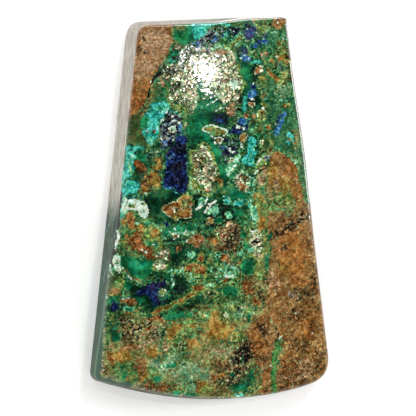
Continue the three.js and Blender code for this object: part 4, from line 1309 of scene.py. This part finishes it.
# ---------------------------------------------------------------------------------------------
# Fields on the finished mesh, and the fine relief they give its surface.


def wobble(points, scale, seed):
    """A smooth random shift for each point, about one unit long at most."""
    offset = Vector((17.3 * seed, 5.1 * seed, 9.7 * seed))
    return np.array([noise.noise_vector(Vector(point) * scale + offset) for point in points])


def growth_places(points, shape):
    """Where on the face the growth that each point lies in comes up, in millimetres."""
    face_height = shape.wall_top / MM + ROLL_DROP + crown(points, shape.crown_rise / MM)
    depth = np.maximum(face_height - points[:, 2] - UNTWISTED, 0)[:, None]
    places = points[:, :2] + depth * DRIFT
    places += depth * TWIST * wobble(points, TWIST_SCALE, 1)[:, :2]
    for seed, (reach, scale) in enumerate(EDGE_WOBBLES, start=2):
        places += reach * wobble(points, scale, seed)[:, :2]
    return places


def side_share(points, shape):
    """0 on the face, 1 on the ground wall under it, in between on the rolled edge."""
    top = shape.wall_top / MM
    face = top + ROLL_DROP + crown(points, shape.crown_rise / MM)
    drop = face - points[:, 2]
    return np.clip((drop - SIDE_FROM) / SIDE_OVER, 0, 1)


def smooth_step(value, low, high):
    share = np.clip((value - low) / (high - low), 0, 1)
    return share * share * (3 - 2 * share)


def relief(points, fields, side, shape):
    """How far the surface sinks at each point: pits in cracks, softer rock, saw marks."""
    pit = smooth_step(fields["black"], -0.05, 0.12) * shape.crack_depth / MM
    soft = smooth_step(fields["turquoise"], 0, 0.3) + smooth_step(fields["crust"], 0, 0.3)
    coarse = smooth_step(fields["clast"], -0.05, 0.1) + smooth_step(fields["grit"], -0.05, 0.1)
    wave = (wobble(points, 0.9, 4)[:, 2] + 1) * shape.polish_wave / MM
    rough = (wobble(points, 3.5, 5)[:, 2] + 1) * COARSE_DEPTH * coarse
    marks = (wobble(points * (0.6, 0.6, 3.0), 1.4, 6)[:, 2] + 1) * MARK_DEPTH * side
    return (pit + SOFT_DEPTH * soft + wave + rough) * (1 - side) + marks


def finish_surface(mesh, shape):
    """Writes the mineral fields on the mesh and sinks its surface by the relief."""
    noise.seed_set(NOISE_SEED)
    count = len(mesh.vertices)
    points = np.empty(count * 3, np.float32)
    mesh.vertices.foreach_get("co", points)
    points = points.reshape(-1, 3).astype(float)
    normals = np.empty(count * 3, np.float32)
    mesh.vertex_normals.foreach_get("vector", normals)
    normals = normals.reshape(-1, 3).astype(float)

    fields = mineral_fields(growth_places(points, shape))
    side = side_share(points, shape)
    back = points[:, 2] < BACK_CHAMFER
    sink = np.where(back, 0, relief(points, fields, side, shape))
    points -= normals * sink[:, None]

    low, high = (np.array(corner) / MM for corner in STONE_BOX)
    middle = (points.min(0) + points.max(0))[:2] / 2 - (low + high)[:2] / 2
    points[:, :2] -= middle
    mesh.vertices.foreach_set("co", (points * MM).astype(np.float32).ravel())
    for name, field in {**fields, "side": side}.items():
        mesh.attributes.new(name, "FLOAT", "POINT").data.foreach_set(
            "value", field.astype(np.float32)
        )
    mesh.update()


# ---------------------------------------------------------------------------------------------
# Colours and shader nodes.


def srgb(red, green, blue):
    """A colour given as 0 to 255 display values, as the linear colour that Blender keeps."""
    def linear(value):
        value /= 255
        return value / 12.92 if value <= 0.04045 else ((value + 0.055) / 1.055) ** 2.4
    return linear(red), linear(green), linear(blue)


class Recipe:
    """Adds nodes to a material's tree and joins them up as they are made."""

    def __init__(self, material):
        material.use_nodes = True
        self.tree = material.node_tree
        self.tree.nodes.clear()

    def add(self, kind, settings=None, **inputs):
        node = self.tree.nodes.new(kind)
        for name, value in (settings or {}).items():
            setattr(node, name, value)
        for name, value in inputs.items():
            self.feed(node.inputs[name.replace("_", " ")], value)
        return node

    def feed(self, socket, value):
        if isinstance(value, bpy.types.NodeSocket):
            self.tree.links.new(value, socket)
        elif value is not None:
            socket.default_value = value

    def math(self, operation, first, second=None, third=None, clamp=False):
        node = self.add("ShaderNodeMath", {"operation": operation, "use_clamp": clamp})
        for socket, value in zip(node.inputs, (first, second, third)):
            self.feed(socket, value)
        return node.outputs[0]

    def vector(self, operation, first, second=None, scale=None):
        node = self.add("ShaderNodeVectorMath", {"operation": operation})
        self.feed(node.inputs[0], first)
        if second is not None:
            self.feed(node.inputs[1], second)
        if scale is not None:
            self.feed(node.inputs["Scale"], scale)
        return node.outputs["Value" if operation == "DOT_PRODUCT" else "Vector"]

    def spread(self, value, low, high, to_low=0.0, to_high=1.0, smooth=False):
        kind = "SMOOTHSTEP" if smooth else "LINEAR"
        node = self.add("ShaderNodeMapRange", {"interpolation_type": kind, "clamp": True},
                        Value=value, From_Min=low, From_Max=high, To_Min=to_low, To_Max=to_high)
        return node.outputs["Result"]

    def blend(self, share, first, second, mode="MIX"):
        node = self.add("ShaderNodeMix", {"data_type": "RGBA", "blend_type": mode})
        self.feed(node.inputs["Factor"], share)
        self.feed(node.inputs[6], first)
        self.feed(node.inputs[7], second)
        return node.outputs[2]

    def ramp(self, value, *stops):
        node = self.add("ShaderNodeValToRGB")
        self.feed(node.inputs[0], value)
        points = node.color_ramp.elements
        while len(points) < len(stops):
            points.new(0.5)
        for point, (place, colour) in zip(points, stops):
            point.position = place
            point.color = (*colour[:3], 1.0)
        return node.outputs["Color"]

    def noise(self, where, scale, detail=2.0, roughness=0.5):
        """Noise with its usual middle stretched to run from 0 to 1."""
        node = self.add("ShaderNodeTexNoise", None, Vector=where, Scale=scale, Detail=detail,
                        Roughness=roughness)
        return self.spread(node.outputs[0], 0.3, 0.7)

    def cells(self, where, scale, feature="F1"):
        return self.add("ShaderNodeTexVoronoi", {"feature": feature}, Vector=where, Scale=scale)

    def field(self, name):
        return self.add("ShaderNodeAttribute", {"attribute_name": name}).outputs["Fac"]


def bent(recipe, where, scale, reach):
    """Places shifted by up to reach, so that patterns drawn on them are uneven."""
    shift = recipe.add("ShaderNodeTexNoise", None, Vector=where, Scale=scale, Detail=2.0)
    shift = recipe.vector("SUBTRACT", shift.outputs["Color"], (0.5, 0.5, 0.5))
    return recipe.vector("ADD", where, recipe.vector("SCALE", shift, scale=2 * reach))


def channels(recipe, colour):
    parts = recipe.add("ShaderNodeSeparateColor", None, Color=colour)
    return [parts.outputs[k] for k in range(3)]


# The most that a stray hue tints a mineral.
STRAY_SHARE = 0.6


def add_grain(recipe, where):
    """The grain patterns that all minerals share: where is in millimetres, and so are the scales.

    Each kind of grain weighs broad blotches, a finer mottle and separate grains, in that order."""
    blotch = recipe.noise(where, 0.8, 2.0)
    mottle = recipe.noise(where, 2.8, 3.0, 0.8)
    uneven = bent(recipe, where, 4.0, 0.22)
    grain, fine, _ = channels(recipe, recipe.cells(uneven, 5.6).outputs["Color"])
    hue = recipe.noise(recipe.vector("ADD", where, (31.0, 7.0, 3.0)), 2.6, 3.0, 0.7)
    _, dark, pale = channels(recipe, recipe.cells(uneven, 6.8).outputs["Color"])
    flakes = recipe.cells(uneven, 7.0).outputs["Color"]

    def mix(*shares):
        total = None
        for source, share in zip((blotch, mottle, grain), shares):
            part = recipe.math("MULTIPLY", source, share)
            total = part if total is None else recipe.math("ADD", total, part)
        return total

    return {
        "smooth": mix(0.55, 0.35, 0.1),
        "earthy": mix(0.34, 0.4, 0.26),
        "mottled": mix(0.14, 0.42, 0.44),
        "grainy": mix(0.14, 0.36, 0.5),
        "coarse": mix(0.1, 0.3, 0.6),
        "pale": pale, "dark": dark, "fine": fine,
        "warm": recipe.spread(hue, 0.54, 0.66, 0, STRAY_SHARE),
        "cool": recipe.spread(hue, 0.46, 0.34, 0, STRAY_SHARE),
        "tilt": flakes, "chance": channels(recipe, flakes)[0],
    }


def mineral_colour(recipe, grain, mineral, body):
    """One mineral's colour: its tones mixed by the grain, with its warm and cool strays."""
    colour = recipe.ramp(
        grain[mineral.kind],
        (0.28, srgb(*mineral.dark)), (0.5, body), (0.74, srgb(*mineral.light)),
    )
    for name in ("warm", "cool"):
        stray = (*srgb(*getattr(mineral, name)), 1)
        colour = recipe.blend(grain[name], colour, stray, "COLOR")
    return colour


def add_nodules(recipe, where, colour, share):
    """Small pale-rimmed nodules and pale green threads scattered over a colour."""
    loose = bent(recipe, where, 1.7, 0.3)
    fibre = recipe.noise(where, 3.4, 3.0, 0.7)
    pale = recipe.blend(fibre, (*srgb(54, 116, 50), 1), (*srgb(160, 188, 118), 1))
    for scale, least, most in ((3.1, 0.1, 0.3), (1.5, 0.16, 0.42)):
        cells = recipe.cells(loose, scale)
        size, chance, kind = channels(recipe, cells.outputs["Color"])
        radius = recipe.spread(size, 0.0, 1.0, least, most)
        depth = recipe.math("SUBTRACT", radius, cells.outputs["Distance"])
        chosen = recipe.math("MULTIPLY", recipe.spread(chance, 0.4, 0.45), share)
        inside = recipe.math("MULTIPLY", recipe.spread(depth, 0.0, 0.05), chosen)
        rim = recipe.math("MULTIPLY", recipe.spread(depth, -0.14, -0.07), chosen)
        hearts = recipe.ramp(
            kind, (0.0, srgb(112, 70, 28)), (0.22, srgb(86, 100, 40)), (0.4, srgb(6, 48, 26)),
            (0.7, srgb(8, 34, 20)), (0.85, srgb(20, 104, 60)), (1.0, srgb(128, 104, 56)),
        )
        colour = recipe.blend(recipe.math("MULTIPLY", rim, 0.85), colour, pale)
        colour = recipe.blend(recipe.math("MULTIPLY", inside, 0.9), colour, hearts)

    ridge = recipe.add("ShaderNodeTexNoise", None, Vector=loose, Scale=1.5, Detail=3.0)
    ridge = recipe.math("ABSOLUTE", recipe.math("SUBTRACT", ridge.outputs[0], 0.5))
    thread = recipe.spread(ridge, 0.03, 0.008)
    patchy = recipe.spread(recipe.noise(where, 0.7, 1.0), 0.35, 0.6)
    thread = recipe.math("MULTIPLY", thread, recipe.math("MULTIPLY", patchy, 0.6))
    return recipe.blend(thread, colour, pale)


def lay_minerals(recipe, where, grain, colours):
    """All minerals laid over each other by their fields: their colour, and their traits, which
    are the share of dark specks, the share of pale flecks and the roughness."""
    straggle = recipe.math("SUBTRACT", recipe.noise(where, 3.6, 3.0, 0.7), 0.5)
    colour = traits = None
    for name, mineral in MINERALS.items():
        tone = mineral_colour(recipe, grain, mineral, getattr(colours, name))
        trait = (mineral.specks, mineral.flecks, mineral.polish, 1.0)
        if colour is None:
            colour, traits = tone, trait
            continue
        edge = recipe.math("MULTIPLY_ADD", straggle, mineral.straggle * 2, recipe.field(name))
        mask = recipe.spread(edge, -mineral.softness, mineral.softness, smooth=True)
        colour = recipe.blend(mask, colour, tone)
        traits = recipe.blend(mask, traits, trait)
        if name == "lace":
            colour = add_nodules(recipe, where, colour, recipe.spread(mask, 0, 1, 0.25, 1))
    return colour, channels(recipe, traits)


# What a dark speck and a pale fleck multiply the colour under them by. A pale fleck is a pale grain,
# and where a mineral has many, as the pale coarse rock does, also a painted glint.
SPECK_SHADE = (0.05, 0.06, 0.045, 1)
FLECK_SHADE = (3.2, 3.1, 2.9, 1)


def add_specks(recipe, grain, colour, dark_share, pale_share):
    """Grains that differ a little from each other, and loose dark and pale ones among them, the pale
    ones partly painted glints.
    """
    fine = recipe.math("MULTIPLY_ADD", grain["fine"], 2.0, -1.0)
    reach = recipe.math("MULTIPLY_ADD", dark_share, 0.6, 0.12)
    level = recipe.math("MULTIPLY_ADD", fine, reach, 1.0)
    colour = recipe.vector("SCALE", colour, scale=level)

    dark = recipe.math("MULTIPLY", recipe.spread(grain["dark"], 0.8, 0.86), dark_share)
    pale = recipe.math("MULTIPLY", recipe.spread(grain["pale"], 0.84, 0.9), pale_share)
    shade = recipe.blend(dark, (1, 1, 1, 1), SPECK_SHADE)
    colour = recipe.blend(1.0, colour, shade, "MULTIPLY")
    bright = recipe.blend(1.0, colour, FLECK_SHADE, "MULTIPLY")
    return recipe.blend(recipe.math("MULTIPLY", pale, 0.85), colour, bright)


# The ground wall's tones where its streaks are darkest and palest: on the left side towards the
# head and the foot, then on the right side towards the head and the foot. The pale and grey tones
# towards the head are a painted reflection of the bright table and lamps in the polished wall,
# painted weaker towards the foot; the mauve-grey of the right side's foot is a painted sheen.
PALE_WALL_REFLECTION = ((136, 130, 122), (196, 190, 178))
GREEN_WALL = ((12, 36, 28), (62, 92, 78))
GREY_WALL_REFLECTION = ((104, 104, 94), (166, 162, 148))
MAUVE_WALL_SHEEN = ((88, 74, 66), (140, 122, 114))

# How many streaks a millimetre of the wall has across, along and up the stone.
STREAKS = (4.2, 0.35, 4.2)

# Where the left side's tones give way to the right side's, and where along the stone the foot's
# tones give way to the head's, with their painted reflection, on the left and, more slowly, on the
# right.
RIGHT_FROM = (-2.0, 2.0)
LEFT_HIGH_FROM = (-1.5, 2.0)
RIGHT_HIGH_FROM = (-9.0, 8.0)

# The foot's own wall shows the rock, darkened by this much as painted shade.
FOOT_WALL_SHADE = (0.4, 0.38, 0.34, 1)

# At the foot the left wall has a painted highlight along its crease, a pale line which runs down
# between these places and heights, and a band of painted shade between the crease and the face.
# Both keep to the outermost part of that side.
CREASE_HIGHLIGHT = (84, 120, 96)
BAND_SHADE = (4, 62, 38)
CREASE_RUN = (-8.0, -17.0, 3.9, 2.4)
CREASE_FROM = (-6.0, -10.0)
BAND_FROM = (-10.0, -13.5)
FAR_LEFT = (-8.0, -10.0)

# On the right towards the head, the rolled edge has a grey rim that is a painted sheen, and a thin
# white line that is a painted highlight.
RIM_SHEEN = (132, 122, 118)
WHITE_HIGHLIGHT_LINE = (244, 240, 236)


def add_wall(recipe, where, side, colour):
    """The ground wall laid over the sides: streaked, with a painted reflection paler towards the head,
    painted shade at the foot, a painted highlight and shade at the left foot's crease, and a painted
    white highlight line and grey sheen on the right.
    """
    parts = recipe.add("ShaderNodeSeparateXYZ", None, Vector=where)
    across, along, height = (parts.outputs[k] for k in range(3))
    streak = recipe.noise(recipe.vector("MULTIPLY", where, STREAKS), 1.0, 3.0, 0.65)
    pale, green, grey, mauve = (
        recipe.ramp(streak, (0.2, srgb(*darkest)), (0.8, srgb(*palest)))
        for darkest, palest in (PALE_WALL_REFLECTION, GREEN_WALL, GREY_WALL_REFLECTION, MAUVE_WALL_SHEEN)
    )
    right = recipe.spread(across, *RIGHT_FROM, smooth=True)
    high = recipe.spread(along, *LEFT_HIGH_FROM, smooth=True)
    slow = recipe.blend(right, high, recipe.spread(along, *RIGHT_HIGH_FROM, smooth=True))
    # Painted reflection: the head's paler tones stand for the bright table and lamps mirrored in the
    # polished wall, giving way to darker tones towards the foot.
    wall = recipe.blend(
        slow, recipe.blend(right, green, mauve), recipe.blend(right, pale, grey)
    )
    wall = recipe.blend(recipe.spread(high, 0, 1, 0.85, 0.95), colour, wall)
    # Painted shade: the foot's own wall is its rock colour darkened.
    shaded_rock = recipe.blend(1.0, colour, FOOT_WALL_SHADE, "MULTIPLY")
    wall = recipe.blend(recipe.spread(along, FOOT_WALL + 0.3, FOOT_WALL), wall, shaded_rock)

    # Painted highlight and painted shade at the left foot: a pale line along the crease, and a dark
    # band between it and the face.
    above = recipe.math("SUBTRACT", height, recipe.spread(along, *CREASE_RUN))
    far_left = recipe.spread(across, *FAR_LEFT)
    foot_left = recipe.math("MULTIPLY", recipe.spread(along, *BAND_FROM, smooth=True), far_left)
    band_shade = recipe.math("MULTIPLY", recipe.spread(above, 0.0, 0.4), foot_left)
    wall = recipe.blend(band_shade, wall, (*srgb(*BAND_SHADE), 1))
    crease_highlight = recipe.spread(recipe.math("ABSOLUTE", above), 0.45, 0.1)
    crease_highlight = recipe.math("MULTIPLY", crease_highlight, recipe.spread(along, *CREASE_FROM, smooth=True))
    crease_highlight = recipe.math("MULTIPLY", crease_highlight, far_left)
    wall = recipe.blend(crease_highlight, wall, (*srgb(*CREASE_HIGHLIGHT), 1))

    # Painted highlight and sheen on the right towards the head: a white line where the edge turns into
    # the wall, and a grey sheen on the rolled edge.
    lined = recipe.math("MULTIPLY", right, high)
    edge = recipe.math("MULTIPLY", recipe.spread(side, 1.0, 0.9), lined)
    wall = recipe.blend(edge, wall, (*srgb(*WHITE_HIGHLIGHT_LINE), 1))
    rim = recipe.math("MULTIPLY", recipe.spread(side, 0.0, 0.05, smooth=True), lined)
    colour = recipe.blend(rim, colour, (*srgb(*RIM_SHEEN), 1))

    # The wall starts higher up the rolled edge where that edge carries the painted white line or the
    # band of painted shade.
    start = recipe.math("MULTIPLY_ADD", lined, -0.16, 0.25)
    end = recipe.math("ADD", start, recipe.math("MULTIPLY_ADD", lined, -0.2, 0.35))
    end = recipe.math("MULTIPLY_ADD", foot_left, -0.3, end)
    start = recipe.math("MULTIPLY_ADD", foot_left, -0.2, start)
    return recipe.blend(recipe.spread(side, start, end, smooth=True), colour, wall)


# How far grains are tilted from the polished face: most of them, and the few that tilt most.
LEAST_TILT = 0.006
MOST_TILT = 0.36
FEW_TILT = 5.0
PALE_TILT = 3.0


def tilted_grains(recipe, grain, pale_share, side):
    """The face's direction, with each grain cut at its own slight tilt, most in pale rock."""
    lean = recipe.vector("SUBTRACT", grain["tilt"], (0.5, 0.5, 0.5))
    chance = recipe.math("POWER", grain["chance"], FEW_TILT)
    amount = recipe.spread(chance, 0.0, 1.0, LEAST_TILT, MOST_TILT)
    amount = recipe.math("MULTIPLY", amount, recipe.math("POWER", pale_share, PALE_TILT))
    amount = recipe.math("MULTIPLY", amount, recipe.spread(side, 0.15, 0.0))
    normal = recipe.add("ShaderNodeNewGeometry").outputs["Normal"]
    normal = recipe.vector("ADD", normal, recipe.vector("SCALE", lean, scale=amount))
    return recipe.vector("NORMALIZE", normal)


def stone_material(colours):
    """The polished rock and its ground wall."""
    material = bpy.data.materials.new("polished_azurite_malachite")
    recipe = Recipe(material)
    object_place = recipe.add("ShaderNodeTexCoord").outputs["Object"]
    where = recipe.vector("SCALE", object_place, scale=1 / MM)
    grain = add_grain(recipe, where)
    side = recipe.field("side")
    colour, (dark_share, pale_share, gloss) = lay_minerals(recipe, where, grain, colours)
    colour = add_specks(recipe, grain, colour, dark_share, pale_share)
    colour = add_wall(recipe, where, side, colour)
    gloss = recipe.math("MAXIMUM", gloss, recipe.math("MULTIPLY", side, WALL_ROUGHNESS))
    normal = tilted_grains(recipe, grain, pale_share, side)
    shader = recipe.add("ShaderNodeBsdfPrincipled", None, Base_Color=colour, Roughness=gloss,
                        IOR=1.6, Normal=normal)
    recipe.add("ShaderNodeOutputMaterial", None, Surface=shader.outputs[0])
    return material


# The table glows a little of its own, as a light table does.
TABLE_GLOW = 0.1


def floor_material(colour):
    material = bpy.data.materials.new("table_paper")
    recipe = Recipe(material)
    shader = recipe.add("ShaderNodeBsdfPrincipled", None, Base_Color=(*colour, 1.0),
                        Roughness=0.9, IOR=1.3, Emission_Color=(*colour, 1.0),
                        Emission_Strength=TABLE_GLOW)
    recipe.add("ShaderNodeOutputMaterial", None, Surface=shader.outputs[0])
    return material


# ---------------------------------------------------------------------------------------------
# The add-on.


def colour_property(name, description, colour):
    return bpy.props.FloatVectorProperty(
        name=name, description=description, subtype="COLOR", size=4, min=0, max=1,
        default=(*srgb(*colour), 1.0),
    )


class StoneShape(bpy.types.PropertyGroup):
    """Sizes of the slab that a user may change."""

    wall_top: bpy.props.FloatProperty(
        name="Wall height", description="Height of the ground wall, where the edge rolls over",
        default=3.9 * MM, min=1 * MM, unit="LENGTH",
    )
    wall_lean: bpy.props.FloatProperty(
        name="Wall lean", description="How far the walls lean in as they rise",
        default=math.radians(5), subtype="ANGLE",
    )
    roll_left: bpy.props.FloatProperty(
        name="Left rolled edge", description="Width of the rolled edge along the left side",
        default=0.16 * MM, min=0, unit="LENGTH",
    )
    roll_right: bpy.props.FloatProperty(
        name="Right rolled edge", description="Width of the rolled edge along the right side",
        default=0.36 * MM, min=0, unit="LENGTH",
    )
    crown_rise: bpy.props.FloatProperty(
        name="Dome rise", description="How far the face rises above the rolled edge",
        default=0.965 * MM, min=0, unit="LENGTH",
    )
    crack_depth: bpy.props.FloatProperty(
        name="Crack depth", description="How deep the dark cracks and pits are",
        default=0.03 * MM, min=0, unit="LENGTH",
    )
    polish_wave: bpy.props.FloatProperty(
        name="Polish wave", description="How far the polished face undulates",
        default=0.0012 * MM, min=0, unit="LENGTH",
    )


class StoneColours(bpy.types.PropertyGroup):
    """The middle tone of each mineral."""

    __annotations__ = {
        name: colour_property(mineral.label, mineral.use, mineral.middle)
        for name, mineral in MINERALS.items()
    }


class StageSettings(bpy.types.PropertyGroup):
    """The table, the lights and the camera."""

    floor_colour: colour_property("Table", "Colour of the table", (252, 252, 251))
    floor_size: bpy.props.FloatProperty(
        name="Table size", description="Width of the table", default=2.0, unit="LENGTH",
    )
    surround: bpy.props.FloatProperty(
        name="Surround", description="Brightness of the light round the table", default=1.0,
    )
    view_distance: bpy.props.FloatProperty(
        name="View distance", description="From the camera to the stone", default=0.5,
        unit="LENGTH",
    )
    view_width: bpy.props.FloatProperty(
        name="View width", description="Width of the view at the stone",
        default=41.27 * MM, unit="LENGTH",
    )


class STONE_OT_make_stone(bpy.types.Operator):
    """Make the polished stone in place of its plain solid"""

    bl_idname = "stone.make_stone"
    bl_label = "Make Stone"

    def execute(self, context):
        shape = context.scene.stone_shape
        built = stone_mesh(shape)
        mesh = bpy.data.meshes.new("polished_azurite_malachite")
        built.to_mesh(mesh)
        built.free()
        if not mesh.polygons:
            raise RuntimeError("the stone came out empty")
        finish_surface(mesh, shape)
        mesh.polygons.foreach_set("use_smooth", [True] * len(mesh.polygons))
        mesh.materials.append(stone_material(context.scene.stone_colours))
        stone = bpy.data.objects.new("polished_azurite_malachite", mesh)
        context.scene.collection.objects.link(stone)
        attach(stone, "root")
        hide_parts(STONE_NODE)
        return {"FINISHED"}


# Where the camera is, as seen from the stone: nearly overhead, a little to the left.
VIEW_DIRECTION = Vector((-0.208, 0.035, 0.977))
VIEW_MIDDLE = Vector((0.00015, 0.0, 0.0))
SENSOR_WIDTH = 36.0


# Where the dark flag hangs overhead, and which side of the surround is the brighter one.
DARK_TOWARDS = Vector((0.2, -0.03, 0.98))
BRIGHTER_TOWARDS = Vector((-0.38, -0.32, 0.0))

# The small lamp whose mirror image is the highlight on the face, and the way to it.
SHINE_AT = Vector((-1.2, 14.0, 4.8)) * MM
SHINE_TOWARDS = Vector((0.183, 0.1175, 0.974))
SHINE_DISTANCE = 0.3

# Each lamp's name, its place, what it points at, its width and length, and its radiance. The
# strips are mirrored in the rolled edges of the right side and the head.
LAMPS = (
    ("shine", SHINE_AT + SHINE_TOWARDS * SHINE_DISTANCE, SHINE_AT, (0.0125, 0.0056), 300),
    ("right_strip", (0.373, 0.05, 0.233), (0, 0, 0), (0.23, 0.07), 13),
    ("head_strip", (0.09, 0.33, 0.29), (0, 0, 0), (0.07, 0.3), 10),
)

# The table lies this far below the stone, so that the two surfaces don't meet.
FLOOR_GAP = 0.02 * MM


def aimed(position, target):
    """The turn that points a camera or lamp at position towards target, its top towards +Y."""
    back = (Vector(position) - Vector(target)).normalized()
    right = Vector((0, 1, 0)).cross(back).normalized()
    return Matrix((right, back.cross(right), back)).transposed().to_euler()


def add_lamp(name, position, target, size, radiance):
    """A flat rectangular lamp that glows with this radiance."""
    lamp = bpy.data.lights.new(name, "AREA")
    lamp.shape = "RECTANGLE"
    lamp.size, lamp.size_y = size
    lamp.energy = radiance * math.pi * size[0] * size[1]
    lamp_object = bpy.data.objects.new(name, lamp)
    lamp_object.location = position
    lamp_object.rotation_euler = aimed(position, target)
    lamp_object.visible_camera = False
    bpy.context.scene.collection.objects.link(lamp_object)


def add_surround(scene, brightness):
    """Soft light all round, but for a dark flag overhead that the polished face mirrors."""
    world = bpy.data.worlds.new("studio")
    scene.world = world
    recipe = Recipe(world)
    towards = recipe.add("ShaderNodeTexCoord").outputs["Generated"]
    near = recipe.vector("DOT_PRODUCT", towards, DARK_TOWARDS)
    share = recipe.spread(near, 0.86, 0.93, brightness, 0.02, smooth=True)
    brighter = recipe.vector("DOT_PRODUCT", towards, BRIGHTER_TOWARDS)
    share = recipe.math("MULTIPLY", share, recipe.math("ADD", brighter, 1.0))
    glow = recipe.add("ShaderNodeBackground", None, Color=(1, 1, 1, 1), Strength=share)
    recipe.add("ShaderNodeOutputWorld", None, Surface=glow.outputs[0])


class STONE_OT_set_stage(bpy.types.Operator):
    """Set the table, the lights and the camera"""

    bl_idname = "stone.set_stage"
    bl_label = "Set Stage"

    def execute(self, context):
        scene = context.scene
        stage = scene.stone_stage
        built = bmesh.new()
        bmesh.ops.create_grid(built, x_segments=1, y_segments=1, size=stage.floor_size / 2)
        mesh = bpy.data.meshes.new("table")
        built.to_mesh(mesh)
        built.free()
        mesh.materials.append(floor_material(stage.floor_colour[:3]))
        floor = bpy.data.objects.new("table", mesh)
        floor.location.z = -FLOOR_GAP
        scene.collection.objects.link(floor)

        add_surround(scene, stage.surround)
        for lamp in LAMPS:
            add_lamp(*lamp)

        camera = bpy.data.cameras.new("view")
        camera.sensor_width = SENSOR_WIDTH
        camera.lens = SENSOR_WIDTH * stage.view_distance / stage.view_width
        camera.clip_start = 0.01
        viewer = bpy.data.objects.new("view", camera)
        towards = VIEW_DIRECTION.normalized()
        viewer.location = VIEW_MIDDLE + towards * stage.view_distance
        viewer.rotation_euler = aimed(viewer.location, VIEW_MIDDLE)
        scene.collection.objects.link(viewer)
        scene.camera = viewer
        scene.view_settings.view_transform = "Standard"
        return {"FINISHED"}


class STONE_PT_panel(bpy.types.Panel):
    """Lists the steps that make the stone and its stage"""

    bl_label = "Polished Stone"
    bl_idname = "STONE_PT_panel"
    bl_space_type = "VIEW_3D"
    bl_region_type = "UI"
    bl_category = "Stone"

    def draw(self, context):
        layout = self.layout
        scene = context.scene
        for title, group in (
            ("Shape", scene.stone_shape),
            ("Minerals", scene.stone_colours),
            ("Stage", scene.stone_stage),
        ):
            box = layout.box()
            box.label(text=title)
            for name in group.__annotations__:
                box.prop(group, name)
        layout.operator(STONE_OT_make_stone.bl_idname)
        layout.operator(STONE_OT_set_stage.bl_idname)


CLASSES = (
    StoneShape, StoneColours, StageSettings, STONE_OT_make_stone, STONE_OT_set_stage,
    STONE_PT_panel,
)


def register():
    for cls in CLASSES:
        bpy.utils.register_class(cls)
    bpy.types.Scene.stone_shape = bpy.props.PointerProperty(type=StoneShape)
    bpy.types.Scene.stone_colours = bpy.props.PointerProperty(type=StoneColours)
    bpy.types.Scene.stone_stage = bpy.props.PointerProperty(type=StageSettings)


def unregister():
    del bpy.types.Scene.stone_stage
    del bpy.types.Scene.stone_colours
    del bpy.types.Scene.stone_shape
    for cls in reversed(CLASSES):
        bpy.utils.unregister_class(cls)


def main():
    register()
    bpy.ops.stone.make_stone()
    bpy.ops.stone.set_stage()


if __name__ == "__main__":
    main()
